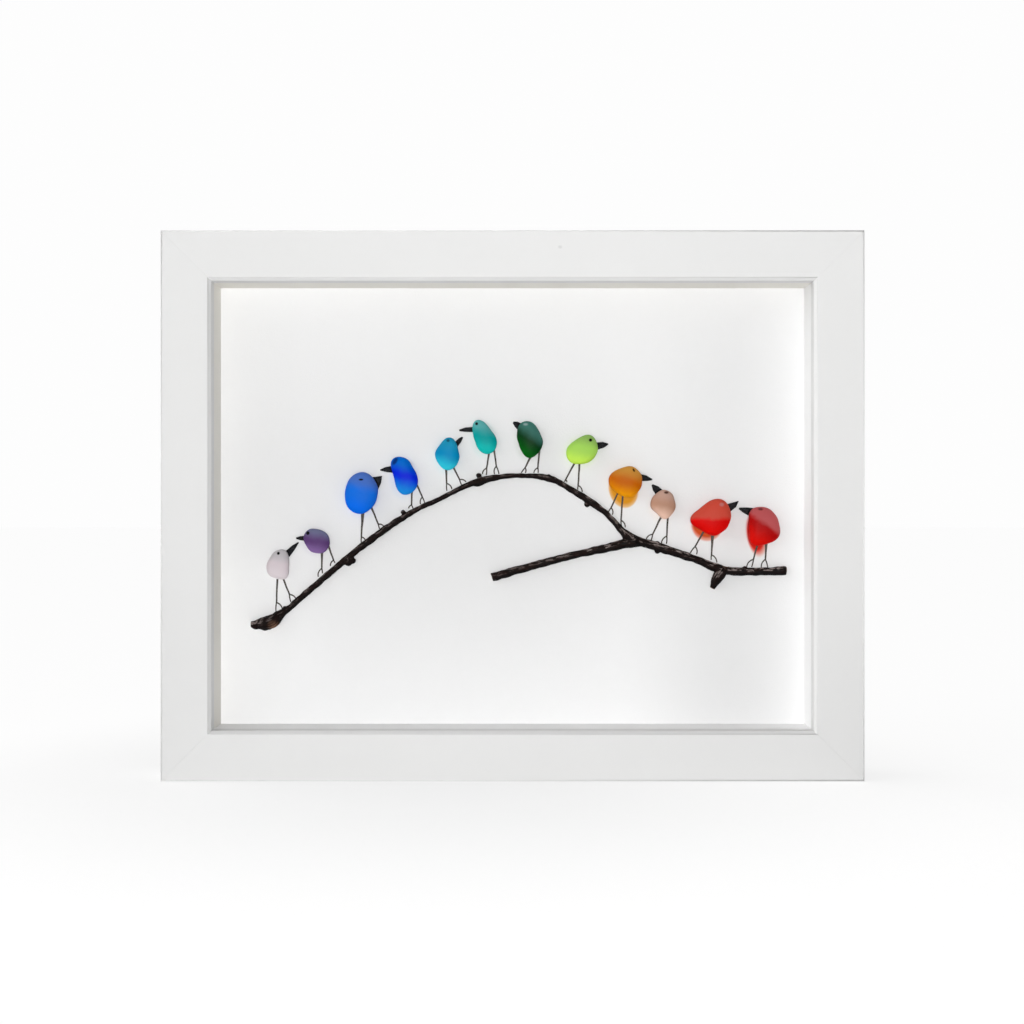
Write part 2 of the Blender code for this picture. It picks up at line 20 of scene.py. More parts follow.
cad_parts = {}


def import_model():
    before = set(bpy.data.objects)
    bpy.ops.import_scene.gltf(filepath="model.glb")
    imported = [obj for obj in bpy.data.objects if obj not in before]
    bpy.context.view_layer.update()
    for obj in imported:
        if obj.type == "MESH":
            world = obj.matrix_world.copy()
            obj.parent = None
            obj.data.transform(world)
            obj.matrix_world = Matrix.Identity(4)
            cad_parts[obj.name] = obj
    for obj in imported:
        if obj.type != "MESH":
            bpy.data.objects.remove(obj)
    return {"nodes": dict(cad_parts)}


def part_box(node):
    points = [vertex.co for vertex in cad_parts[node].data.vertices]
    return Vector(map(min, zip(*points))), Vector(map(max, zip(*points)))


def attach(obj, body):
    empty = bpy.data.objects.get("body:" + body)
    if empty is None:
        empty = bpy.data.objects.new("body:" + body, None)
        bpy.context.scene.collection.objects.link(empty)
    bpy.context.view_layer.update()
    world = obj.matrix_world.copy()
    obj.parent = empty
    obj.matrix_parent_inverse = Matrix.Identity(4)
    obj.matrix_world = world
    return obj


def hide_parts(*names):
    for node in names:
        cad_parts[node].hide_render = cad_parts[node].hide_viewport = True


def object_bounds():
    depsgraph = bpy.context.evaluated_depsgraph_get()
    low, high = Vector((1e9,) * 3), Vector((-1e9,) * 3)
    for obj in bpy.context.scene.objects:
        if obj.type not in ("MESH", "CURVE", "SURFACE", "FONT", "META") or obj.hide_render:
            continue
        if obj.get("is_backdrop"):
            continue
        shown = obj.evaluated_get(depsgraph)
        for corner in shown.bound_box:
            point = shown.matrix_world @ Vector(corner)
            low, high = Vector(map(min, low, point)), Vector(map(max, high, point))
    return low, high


LOG = logging.getLogger("sea_glass_art")
MM = 0.001
BODY = "root"

Colour = tuple[float, float, float]
Point = tuple[float, float]
Sockets = tuple[tuple[str, str], ...]


# Shared tools


def tint(red: int, green: int, blue: int) -> Colour:
    """A colour as it is seen on a screen, turned into linear light.

    Args:
        red: the red, from 0 to 255.
        green: the green.
        blue: the blue.

    Returns:
        The colour, each part from 0 to 1.
    """
    return tuple(
        value / 12.92 if value <= 0.04045 else ((value + 0.055) / 1.055) ** 2.4
        for value in (red / 255, green / 255, blue / 255)
    )


def grey(value: float) -> Colour:
    """An even grey, from 0 to 1."""
    return (value, value, value)


class Wiring:
    """Adds nodes to one node tree and links them."""

    def __init__(self, tree: bpy.types.NodeTree) -> None:
        """Keep the tree that the nodes go into."""
        self.tree = tree

    def add(
        self, kind: str, inputs: dict[str | int, Any] | None = None, **settings: Any
    ) -> bpy.types.Node:
        """Add one node.

        Args:
            kind: the node's type name.
            inputs: what goes into its sockets, each a socket to link from or a plain value.
            settings: the node's own options.

        Returns:
            The new node.
        """
        node = self.tree.nodes.new(kind)
        for name, value in settings.items():
            setattr(node, name, value)
        self.fill(node, inputs or {})
        return node

    def fill(self, node: bpy.types.Node, inputs: dict[str | int, Any]) -> None:
        """Feed several sockets of a node.

        Args:
            node: the node.
            inputs: what goes into its sockets, each a socket to link from or a plain value.
        """
        for key, value in inputs.items():
            self.feed(node.inputs[key], value)

    def feed(self, socket: bpy.types.NodeSocket, value: Any) -> None:
        """Link a socket to a socket, or set its plain value.

        Args:
            socket: the input that is fed.
            value: a socket, a number, a vector or a colour.
        """
        if isinstance(value, bpy.types.NodeSocket):
            self.tree.links.new(value, socket)
        elif socket.type == "RGBA" and len(value) == 3:
            socket.default_value = (*value, 1.0)
        else:
            socket.default_value = value

    def maths(self, operation: str, first: Any, second: Any = 0.0, third: Any = 0.0) -> Any:
        """The result of one sum on numbers."""
        inputs = {0: first, 1: second, 2: third}
        return self.add("ShaderNodeMath", inputs, operation=operation).outputs[0]

    def vector(self, operation: str, first: Any, second: Any, out: str = "Vector") -> Any:
        """The result of one sum on vectors."""
        node = self.add("ShaderNodeVectorMath", {0: first, 1: second}, operation=operation)
        return node.outputs[out]

    def ramp(self, value: Any, low: Any, high: Any) -> bpy.types.NodeSocket:
        """A smooth step from 0 at low to 1 at high.

        Args:
            value: the number that steps.
            low: where the step starts.
            high: where it is complete. It may be less than low.

        Returns:
            The stepped number.
        """
        inputs = {"Value": value, "From Min": low, "From Max": high}
        node = self.add("ShaderNodeMapRange", inputs, interpolation_type="SMOOTHSTEP")
        return node.outputs["Result"]

    def blend(self, factor: Any, first: Any, second: Any) -> bpy.types.NodeSocket:
        """A mix of two colours, from the first at factor 0 to the second at factor 1."""
        inputs = {"Factor": factor, 6: first, 7: second}
        return self.add("ShaderNodeMix", inputs, data_type="RGBA").outputs[2]

    def noise(self, place: Any, scale: Any, detail: float = 3.0) -> bpy.types.NodeSocket:
        """Soft noise around 0.5."""
        inputs = {"Vector": place, "Scale": scale, "Detail": detail, "Roughness": 0.6}
        return self.add("ShaderNodeTexNoise", inputs).outputs["Fac"]

    def group(self, tree: bpy.types.NodeTree, inputs: dict[str, Any]) -> bpy.types.Node:
        """Place a shared effect.

        Args:
            tree: the shared effect.
            inputs: its own values here.

        Returns:
            The group's node.
        """
        node = self.tree.nodes.new("ShaderNodeGroup")
        node.node_tree = tree
        self.fill(node, inputs)
        return node


class Effects:
    """The effects that several materials share, each built once as a node group."""

    cloud_scale: float = 170.0  # of the slow clouds in the glass, per metre
    cloud_depth: float = 0.35  # how far they shift its colours up and down
    frosting_scale: float = 2600.0
    bloom_strength: float = 0.05

    def __init__(self) -> None:
        """Build every group, and start the list of the materials that use them."""
        self.made: dict[str, bpy.types.Material] = {}
        self.grain = self._grain()
        self.spot = self._spot()
        self.glass_with_painted_light = self._glass_with_painted_light()

    @staticmethod
    def _new(name: str, inputs: Sockets, outputs: Sockets) -> tuple[Wiring, dict[str, Any], bpy.types.Node]:
        """Start a group.

        Args:
            name: the group's name.
            inputs: the name and kind of each input.
            outputs: the name and kind of each output.

        Returns:
            The wiring of the group, its input sockets by name, and its output node.
        """
        tree = bpy.data.node_groups.new(name, "ShaderNodeTree")
        for label, kind in inputs:
            tree.interface.new_socket(label, in_out="INPUT", socket_type=f"NodeSocket{kind}")
        for label, kind in outputs:
            tree.interface.new_socket(label, in_out="OUTPUT", socket_type=f"NodeSocket{kind}")
        wiring = Wiring(tree)
        given = wiring.add("NodeGroupInput").outputs
        return wiring, {socket.name: socket for socket in given}, wiring.add("NodeGroupOutput")

    def _grain(self) -> bpy.types.NodeTree:
        """Fine variation of a surface, stretched one way.

        Returns:
            The group, whose mask runs from 0 to 1.
        """
        inputs = (("Place", "Vector"), ("Stretch", "Vector"), ("Scale", "Float"))
        wiring, given, out = self._new("surface grain", inputs, (("Mask", "Float"),))
        stretched = wiring.vector("MULTIPLY", given["Place"], given["Stretch"])
        speckle = wiring.noise(stretched, given["Scale"], detail=4.0)
        wiring.fill(out, {"Mask": wiring.ramp(speckle, 0.3, 0.7)})
        return wiring.tree

    def _spot(self) -> bpy.types.NodeTree:
        """An oval spot with a soft edge.

        Returns:
            The group, whose mask is 1 inside the oval and 0 outside.
        """
        inputs = (("Place", "Vector"), ("Centre", "Vector"), ("Across", "Vector"), ("Along", "Vector"))
        wiring, given, out = self._new("oval spot", (*inputs, ("Softness", "Float")), (("Mask", "Float"),))
        away = wiring.vector("SUBTRACT", given["Place"], given["Centre"])
        across = wiring.vector("DOT_PRODUCT", away, given["Across"], "Value")
        along = wiring.vector("DOT_PRODUCT", away, given["Along"], "Value")
        square = wiring.maths("MULTIPLY_ADD", along, along, wiring.maths("MULTIPLY", across, across))
        outer = wiring.maths("ADD", 1.0, given["Softness"])
        inner = wiring.maths("SUBTRACT", 1.0, given["Softness"])
        wiring.fill(out, {"Mask": wiring.ramp(wiring.maths("SQRT", square), outer, inner)})
        return wiring.tree

    def _glass_with_painted_light(self) -> bpy.types.NodeTree:
        """Worn glass with slow clouds: a painted sheen at its top, its own deep colour in its middle and a
        painted glow at its foot.

        Returns:
            The group, with the glass's colour and its frosting.
        """
        inputs = (("Place", "Vector"), ("Centre", "Vector"), ("Upward", "Vector"), ("Edge", "Float"))
        inputs += (("Line", "Float"), ("Top", "Color"), ("Middle", "Color"), ("Foot", "Color"))
        outputs = (("Colour", "Color"), ("Frosting", "Float"))
        wiring, given, out = self._new("cloudy glass", inputs, outputs)
        away = wiring.vector("SUBTRACT", given["Place"], given["Centre"])
        height = wiring.vector("DOT_PRODUCT", away, given["Upward"], "Value")
        clouds = wiring.maths("SUBTRACT", wiring.noise(given["Place"], self.cloud_scale, 2.0), 0.5)
        height = wiring.maths("MULTIPLY_ADD", clouds, self.cloud_depth, height)
        low = wiring.maths("SUBTRACT", given["Line"], given["Edge"])
        high = wiring.maths("ADD", given["Line"], given["Edge"])
        # painted glow towards the foot, the glass's own colour in the middle, and the painted sheen above
        # the line
        body = wiring.blend(wiring.ramp(height, -1.0, 0.0), given["Foot"], given["Middle"])
        colour = wiring.blend(wiring.ramp(height, low, high), body, given["Top"])
        frosting = wiring.noise(given["Place"], self.frosting_scale, 4.0)
        # the frosting's speckles take a little of the painted sheen's colour
        bloom = wiring.maths("MULTIPLY", wiring.ramp(frosting, 0.4, 0.8), self.bloom_strength)
        wiring.fill(out, {"Colour": wiring.blend(bloom, colour, given["Top"]), "Frosting": frosting})
        return wiring.tree


@dataclass(frozen=True)
class Artboard:
    """Where the art's millimetres are in the frame."""

    middle: Vector

    def at(self, x: float, z: float, depth: float = 0.0) -> Vector:
        """A point of the art, in metres."""
        return self.middle + Vector((x, -depth, z)) * MM


@dataclass(frozen=True)
class Oval:
    """An oval on the card or on a pebble, in the art's millimetres."""

    x: float
    z: float
    half_width: float
    half_height: float
    lean: float = 0.0  # to the right, in degrees

    def sockets(self, board: Artboard) -> dict[str, Vector]:
        """What the shared spot asks for.

        Args:
            board: where the art is.

        Returns:
            The middle, and the two axes, each divided by its half size.
        """
        angle = math.radians(self.lean)
        across = Vector((math.cos(angle), 0, -math.sin(angle))) / (self.half_width * MM)
        along = Vector((math.sin(angle), 0, math.cos(angle))) / (self.half_height * MM)
        return {"Centre": board.at(self.x, self.z), "Across": across, "Along": along}


@dataclass(frozen=True)
class Spot:
    """A spot of colour: an eye drawn on the glass or a painted glint on it, a mark, painted shade or light
    on the card, or painted coloured light on it.
    """

    oval: Oval
    colour: Colour = grey(0.004)
    strength: float = 1.0
    softness: float = 0.25


# Finishes


class Surface(Wiring):
    """The nodes of one material, around its own shader."""

    def __init__(self, material: bpy.types.Material, effects: Effects) -> None:
        """Start from the shader that the material comes with.

        Args:
            material: the material.
            effects: the shared effects.
        """
        super().__init__(material.node_tree)
        self.shader = material.node_tree.nodes["Principled BSDF"]
        self.effects = effects

    @cached_property
    def place(self) -> bpy.types.NodeSocket:
        """Where a point of the surface is in the object's own space, in metres."""
        return self.add("ShaderNodeTexCoord").outputs["Object"]

    def shade(self, inputs: dict[str | int, Any]) -> None:
        """Feed the shader."""
        self.fill(self.shader, inputs)

    def attribute(self, name: str, out: str = "Fac") -> bpy.types.NodeSocket:
        """A value that the mesh carries."""
        return self.add("ShaderNodeAttribute", attribute_name=name).outputs[out]

    def grain(self, scale: float, stretch: Sequence[float] = (1, 1, 1), place: Any = None) -> Any:
        """Place the shared grain.

        Args:
            scale: how fine the grain is, per metre.
            stretch: how much finer it is along each axis.
            place: what it follows, where that isn't the object's own space.

        Returns:
            The grain's mask.
        """
        inputs = {"Place": self.place if place is None else place, "Scale": scale, "Stretch": stretch}
        return self.group(self.effects.grain, inputs).outputs["Mask"]

    def spotted(self, colour: Any, spots: Sequence[Spot], board: Artboard) -> Any:
        """Lay spots over a colour.

        Args:
            colour: the colour below the spots.
            spots: the spots, each over the one before.
            board: where the art is.

        Returns:
            The colour with the spots.
        """
        for spot in spots:
            inputs = {"Place": self.place, **spot.oval.sockets(board), "Softness": spot.softness}
            mask = self.group(self.effects.spot, inputs).outputs["Mask"]
            colour = self.blend(self.maths("MULTIPLY", mask, spot.strength), colour, spot.colour)
        return colour

    def bump(self, height: Any, distance: float) -> None:
        """Give the surface a relief of a height from 0 to 1, which stands a distance in metres high."""
        node = self.add("ShaderNodeBump", {"Height": height, "Distance": distance, "Strength": 1.0})
        self.shade({"Normal": node.outputs["Normal"]})


class Finish:
    """A material that is made once. A kind of finish says how its nodes are wired."""

    name: str

    def material(self, effects: Effects) -> bpy.types.Material:
        """The material, made at the first call.

        Args:
            effects: the shared effects.

        Returns:
            The material with its nodes.
        """
        if self.name not in effects.made:
            material = bpy.data.materials.new(self.name)
            material.use_nodes = True
            effects.made[self.name] = material
            self.wire(Surface(material, effects))
        return effects.made[self.name]

    def wire(self, surface: Surface) -> None:
        """Wire the nodes of this kind of finish."""
        raise NotImplementedError


@dataclass(frozen=True)
class PaintFinish(Finish):
    """Smooth white paint on wood, brushed along its length."""

    name: str
    colour: Colour
    shade: Colour
    roughness: float
    relief: float
    stretch: tuple[float, float, float]
    board: Artboard
    blemishes: tuple[Spot, ...] = ()
    mark_scale: float = 500.0
    patch_scale: float = 14.0
    sheen_spread: float = 0.08

    def wire(self, surface: Surface) -> None:
        """Wire faint brush marks, a slightly uneven white and a satin sheen.

        Args:
            surface: the nodes of the material.
        """
        marks = surface.grain(self.mark_scale, self.stretch)
        colour = surface.blend(surface.grain(self.patch_scale), self.colour, self.shade)
        colour = surface.spotted(colour, self.blemishes, self.board)
        rough = surface.maths("MULTIPLY_ADD", marks, self.sheen_spread, self.roughness)
        surface.shade({"Base Color": colour, "Roughness": rough, "Specular IOR Level": 0.2})
        surface.bump(marks, self.relief)


@dataclass(frozen=True)
class PaperFinish(Finish):
    """White mount card with a fine tooth, with broad patches of painted shade and painted light, and painted
    coloured light where the pebbles throw light on it.
    """

    name: str
    colour: Colour
    spots: tuple[Spot, ...]  # broad patches of painted shade and painted light, then the painted coloured light
    board: Artboard
    tooth_scale: float = 1400.0
    patch_scale: float = 9.0
    patch_lift: float = 1.01
    relief: float = 0.03 * MM

    def wire(self, surface: Surface) -> None:
        """Wire the paper, its painted shade and light, and then the painted coloured light.

        Args:
            surface: the nodes of the material.
        """
        paler = tuple(min(1.0, self.patch_lift * value) for value in self.colour)
        colour = surface.blend(surface.grain(self.patch_scale), self.colour, paler)
        colour = surface.spotted(colour, self.spots, self.board)
        surface.shade({"Base Color": colour, "Roughness": 0.9, "Specular IOR Level": 0.2})
        surface.bump(surface.grain(self.tooth_scale), self.relief)


@dataclass(frozen=True)
class BoardFinish(Finish):
    """Brown hardboard with its pressed fibres."""

    name: str
    colour: Colour
    shade: Colour
    fibre_scale: float = 900.0
    patch_scale: float = 25.0
    relief: float = 0.05 * MM

    def wire(self, surface: Surface) -> None:
        """Wire fine fibres over slow patches.

        Args:
            surface: the nodes of the material.
        """
        fibres = surface.grain(self.fibre_scale, (1.0, 1.0, 0.25))
        mask = surface.maths("ADD", fibres, surface.grain(self.patch_scale))
        colour = surface.blend(surface.maths("MULTIPLY", mask, 0.5), self.colour, self.shade)
        surface.shade({"Base Color": colour, "Roughness": surface.ramp(fibres, -1.6, 1.3)})
        surface.bump(fibres, self.relief)


@dataclass(frozen=True)
class MetalFinish(Finish):
    """Bare sheet metal, rolled one way, with dull patches."""

    name: str
    colour: Colour
    shade: Colour
    roughness: float
    mark_scale: float = 1500.0
    bloom_scale: float = 160.0
    dulling: float = 0.2
    relief: float = 0.01 * MM

    def wire(self, surface: Surface) -> None:
        """Wire rolling marks and a dull bloom.

        Args:
            surface: the nodes of the material.
        """
        bloom = surface.grain(self.bloom_scale)
        colour = surface.blend(bloom, self.colour, self.shade)
        rough = surface.maths("MULTIPLY_ADD", bloom, self.dulling, self.roughness)
        surface.shade({"Base Color": colour, "Roughness": rough, "Metallic": 1.0})
        surface.bump(surface.grain(self.mark_scale, (0.08, 1.0, 1.0)), self.relief)


@dataclass(frozen=True)
class BarkFinish(Finish):
    """Dark dry bark, painted darker where it faces down, with a painted highlight on the ridges that face up
    and bare wood where it is torn or cut.
    """

    name: str
    dark: Colour
    brown: Colour
    worn: Colour
    wood: Colour
    streak_scale: float = 1300.0
    patch_scale: float = 420.0
    skyward: tuple[float, float, float] = (-0.2, -0.3, 0.93)  # where the painted highlight faces, and away from where the painted shade lies
    patch_relief: float = 0.8
    relief: float = 0.15 * MM

    def wire(self, surface: Surface) -> None:
        """Wire streaks that run along each limb, with painted shade below and a painted highlight above.

        Args:
            surface: the nodes of the material.
        """
        flow = surface.attribute("flow", "Vector")
        streaks = surface.grain(self.streak_scale, (0.22, 1.0, 1.0), flow)
        patches = surface.grain(self.patch_scale, (0.6, 1.0, 1.0), flow)
        normal = surface.add("ShaderNodeNewGeometry").outputs["Normal"]
        upward = surface.vector("DOT_PRODUCT", normal, self.skyward, "Value")
        # painted shade: the bark is blended towards its darkest colour where it faces away from skyward
        shade = surface.maths("MULTIPLY", streaks, surface.ramp(upward, -0.6, 0.4))
        colour = surface.blend(shade, self.dark, self.brown)
        mottle = surface.ramp(surface.maths("ADD", streaks, patches), 1.0, 1.6)
        # painted highlight on the faces that look skyward, as strong as the mesh's wear value
        lit = surface.maths("MULTIPLY", surface.ramp(upward, 0.1, 0.75), mottle)
        ridges = surface.maths("MULTIPLY", lit, surface.attribute("wear"))
        colour = surface.blend(ridges, colour, self.worn)
        wood = surface.blend(streaks, self.wood, self.brown)
        colour = surface.blend(surface.attribute("bare"), colour, wood)
        rough = surface.ramp(streaks, -1.2, 1.6)
        surface.shade({"Base Color": colour, "Roughness": rough, "Specular IOR Level": 0.1})
        height = surface.maths("MULTIPLY_ADD", patches, self.patch_relief, streaks)
        surface.bump(height, self.relief)


@dataclass(frozen=True)
class StoneFinish(Finish):
    """A dark chip of slate with small paler flecks."""

    name: str
    dark: Colour
    fleck: Colour
    layer_scale: float = 900.0
    fleck_scale: float = 1500.0
    relief: float = 0.06 * MM

    def wire(self, surface: Surface) -> None:
        """Wire cleft layers and flecks.

        Args:
            surface: the nodes of the material.
        """
        layers = surface.grain(self.layer_scale, (0.5, 1.0, 1.6))
        flecks = surface.ramp(surface.noise(surface.place, self.fleck_scale), 0.55, 0.7)
        colour = surface.blend(surface.maths("MULTIPLY", flecks, layers), self.dark, self.fleck)
        rough = surface.ramp(layers, -1.4, 1.8)
        surface.shade({"Base Color": colour, "Roughness": rough, "Specular IOR Level": 0.12})
        surface.bump(layers, self.relief)


@dataclass(frozen=True)
class InkFinish(Finish):
    """Dark drawing ink, thinner in places."""

    name: str
    dark: Colour
    thin: Colour
    scale: float = 900.0

    def wire(self, surface: Surface) -> None:
        """Wire an uneven line.

        Args:
            surface: the nodes of the material.
        """
        uneven = surface.grain(self.scale)
        colour = surface.blend(uneven, self.dark, self.thin)
        rough = surface.ramp(uneven, -1.5, 1.5)
        surface.shade({"Base Color": colour, "Roughness": rough, "Specular IOR Level": 0.1})


@dataclass(frozen=True)
class GlassFinish(Finish):
    """Frosted sea glass of one pebble, with a painted sheen above, a painted glow at its foot, and the eye
    drawn on it or, on two pebbles, a painted glint.
    """

    name: str
    top: Colour
    middle: Colour
    foot: Colour
    oval: Oval
    board: Artboard
    eye_and_glint: Spot
    line: float  # how high the middle's colour gives way to the painted sheen, from -1 to 1
    edge: float  # half the width of that change
    # which way is up for the painted sheen and glow, in degrees to the right
    upward_lean: float
    relief: float = 0.03 * MM

    def wire(self, surface: Surface) -> None:
        """Wire the cloudy body with its painted sheen and glow, the frosting, and the eye or painted glint.

        Args:
            surface: the nodes of the material.
        """
        angle = math.radians(self.upward_lean)
        reach = 0.5 * (self.oval.half_width + self.oval.half_height) * MM
        inputs = {
            "Place": surface.place,
            "Centre": self.board.at(self.oval.x, self.oval.z),
            "Upward": Vector((math.sin(angle), 0, math.cos(angle))) / reach,
            "Edge": self.edge,
            "Line": self.line,
            "Top": self.top,
            "Middle": self.middle,
            "Foot": self.foot,
        }
        body = surface.group(surface.effects.glass_with_painted_light, inputs).outputs
        inputs = {
            "Base Color": surface.spotted(body["Colour"], (self.eye_and_glint,), self.board),
            "Roughness": surface.ramp(body["Frosting"], -0.4, 1.4),
            "Transmission Weight": 0.12,
            "IOR": 1.45,
            "Specular IOR Level": 0.02,
        }
        surface.shade(inputs)
        surface.bump(body["Frosting"], self.relief)


@dataclass(frozen=True)
class FloorFinish(Finish):
    """The pale studio floor, with a soft shadow round the frame."""

    name: str
    colour: Colour
    seen_colour: Colour
    lift: float  # of its white where the camera sees it, without lighting the frame from below
    pool: Colour  # of the soft shadow
    pool_radius: float
    pool_shift: float  # of the shadow's middle along X
    pool_softness: float = 0.9
    patch_scale: float = 6.0
    patch_lift: float = 1.01

    def wire(self, surface: Surface) -> None:
        """Wire an even matt white and the shadow.

        Args:
            surface: the nodes of the material.
        """
        inputs = {
            "Place": surface.place,
            "Centre": (self.pool_shift, 0.0, 0.0),
            "Across": (1 / self.pool_radius, 0.0, 0.0),
            "Along": (0.0, 1 / self.pool_radius, 0.0),
            "Softness": self.pool_softness,
        }
        shadow = surface.group(surface.effects.spot, inputs).outputs["Mask"]
        seen = surface.add("ShaderNodeLightPath").outputs["Is Camera Ray"]
        paler = tuple(min(1.0, self.patch_lift * value) for value in self.colour)
        ground = surface.blend(surface.grain(self.patch_scale), self.colour, paler)
        inputs = {
            "Base Color": surface.blend(seen, ground, self.seen_colour),
            "Roughness": 1.0,
            "Specular IOR Level": 0.0,
            "Emission Color": surface.blend(shadow, grey(1.0), self.pool),
            "Emission Strength": surface.maths("MULTIPLY", seen, self.lift),
        }
        surface.shade(inputs)


# Sub-assemblies


def linked(name: str, data: Any) -> bpy.types.Object:
    """A new object in the scene, of some mesh, light or camera data.

    Args:
        name: its name.
        data: what it is made of.

    Returns:
        The object.
    """
    thing = bpy.data.objects.new(name, data)
    bpy.context.scene.collection.objects.link(thing)
    return thing


def mesh_of(shell: bmesh.types.BMesh) -> bpy.types.Mesh:
    """Turn an edit mesh into mesh data and let the edit mesh go.

    Args:
        shell: the edit mesh.

    Returns:
        The mesh data.
    """
    mesh = bpy.data.meshes.new("shape")
    shell.to_mesh(mesh)
    shell.free()
    return mesh


def mesh_from(points: Sequence[Sequence[float]], faces: Sequence[Sequence[int]]) -> bpy.types.Mesh:
    """Mesh data from points and faces, with its faces turned outward.

    Args:
        points: the corners, in metres.
        faces: the corner numbers of each face.

    Returns:
        The mesh.
    """
    mesh = bpy.data.meshes.new("shape")
    mesh.from_pydata([tuple(point) for point in points], [], [tuple(face) for face in faces])
    shell = bmesh.new()
    shell.from_mesh(mesh)
    bmesh.ops.recalc_face_normals(shell, faces=shell.faces)
    shell.to_mesh(mesh)
    shell.free()
    return mesh


def ring_faces(rings: int, sides: int) -> list[tuple[int, ...]]:
    """The faces of a closed tube, whose corners are numbered ring by ring.

    Args:
        rings: how many rings it has.
        sides: how many corners a ring has.

    Returns:
        The corner numbers of both ends and then of each face between two rings.
    """
    faces = [tuple(range(sides)), tuple(range((rings - 1) * sides, rings * sides))]
    for start in range(0, (rings - 1) * sides, sides):
        for side in range(sides):
            here, beside = start + side, start + (side + 1) % sides
            faces.append((here, beside, beside + sides, here + sides))
    return faces


def add_tube(shell: bmesh.types.BMesh, corners: Sequence[Vector], sides: int) -> None:
    """Add a closed tube to an edit mesh.

    Args:
        shell: the edit mesh.
        corners: the tube's corners, ring by ring.
        sides: how many corners a ring has.
    """
    verts = [shell.verts.new(corner) for corner in corners]
    for face in ring_faces(len(corners) // sides, sides):
        shell.faces.new([verts[number] for number in face])


def block_mesh(low: Vector, high: Vector, softness: float = 0.0) -> bpy.types.Mesh:
    """A block between two corners, with its edges eased.

    Args:
        low: the lowest corner.
        high: the highest corner.
        softness: how far the edges are eased.

    Returns:
        The mesh.
    """
    shell = bmesh.new()
    bmesh.ops.create_cube(shell, size=1)
    bmesh.ops.scale(shell, vec=high - low, verts=shell.verts)
    bmesh.ops.translate(shell, vec=(low + high) / 2, verts=shell.verts)
    if softness:
        edges = shell.edges[:]
        bmesh.ops.bevel(shell, geom=edges, offset=softness, segments=2, profile=0.5, affect="EDGES")
    return mesh_of(shell)


def smooth(mesh: bpy.types.Mesh) -> bpy.types.Mesh:
    """Shade every face of a mesh smooth.

    Args:
        mesh: the mesh.

    Returns:
        The same mesh.
    """
    for polygon in mesh.polygons:
        polygon.use_smooth = True
    return mesh


def evaluated(mesh: bpy.types.Mesh, *modifiers: tuple[str, dict[str, Any]]) -> bpy.types.Mesh:
    """A mesh after some modifiers.

    Args:
        mesh: the mesh to start from.
        modifiers: the kind and the settings of each modifier.

    Returns:
        A new mesh.
    """
    helper = linked("helper", mesh)
    for kind, settings in modifiers:
        modifier = helper.modifiers.new(kind.lower(), kind)
        for name, value in settings.items():
            setattr(modifier, name, value)
    graph = bpy.context.evaluated_depsgraph_get()
    result = bpy.data.meshes.new_from_object(helper.evaluated_get(graph))
    bpy.data.objects.remove(helper)
    return result


def unevenness(x: float, y: float, z: float = 0.0) -> float:
    """Smooth noise from -1 to 1."""
    return noise.noise(Vector((x, y, z)))


@dataclass
class Assembly:
    """A sub-assembly, whose pieces ride on the one body of the frame."""

    nodes: dict[str, bpy.types.Object]
    effects: Effects

    def cover(self, mesh: bpy.types.Mesh, finish: Finish) -> None:
        """Give a mesh its finish and no other."""
        mesh.materials.clear()
        mesh.materials.append(finish.material(self.effects))

    def put(
        self, name: str, mesh: bpy.types.Mesh, finish: Finish, slot: str, *replaced: str
    ) -> None:
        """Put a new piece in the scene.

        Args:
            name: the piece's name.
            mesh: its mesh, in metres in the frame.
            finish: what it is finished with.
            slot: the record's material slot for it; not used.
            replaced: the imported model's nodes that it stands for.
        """
        mesh.name = name
        piece = linked(name, mesh)
        self.cover(mesh, finish)
        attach(piece, BODY)
        if replaced:
            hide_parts(*replaced)
        LOG.info("%s: %d faces, %s", name, len(mesh.polygons), finish.name)

    def dress(self, name: str, finish: Finish) -> None:
        """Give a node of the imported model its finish."""
        self.cover(self.nodes[name].data, finish)
        LOG.info("%s: kept, %s", name, finish.name)


class Side(Enum):
    """A side of the frame, by the direction from it to the middle."""

    TOP = (0, 0, -1)
    BOTTOM = (0, 0, 1)
    LEFT = (1, 0, 0)
    RIGHT = (-1, 0, 0)

    @property
    def label(self) -> str:
        """The side's name in the names of pieces."""
        return self.name.lower()

    @property
    def is_long(self) -> bool:
        """Whether the side runs along X."""
        return self in (Side.TOP, Side.BOTTOM)


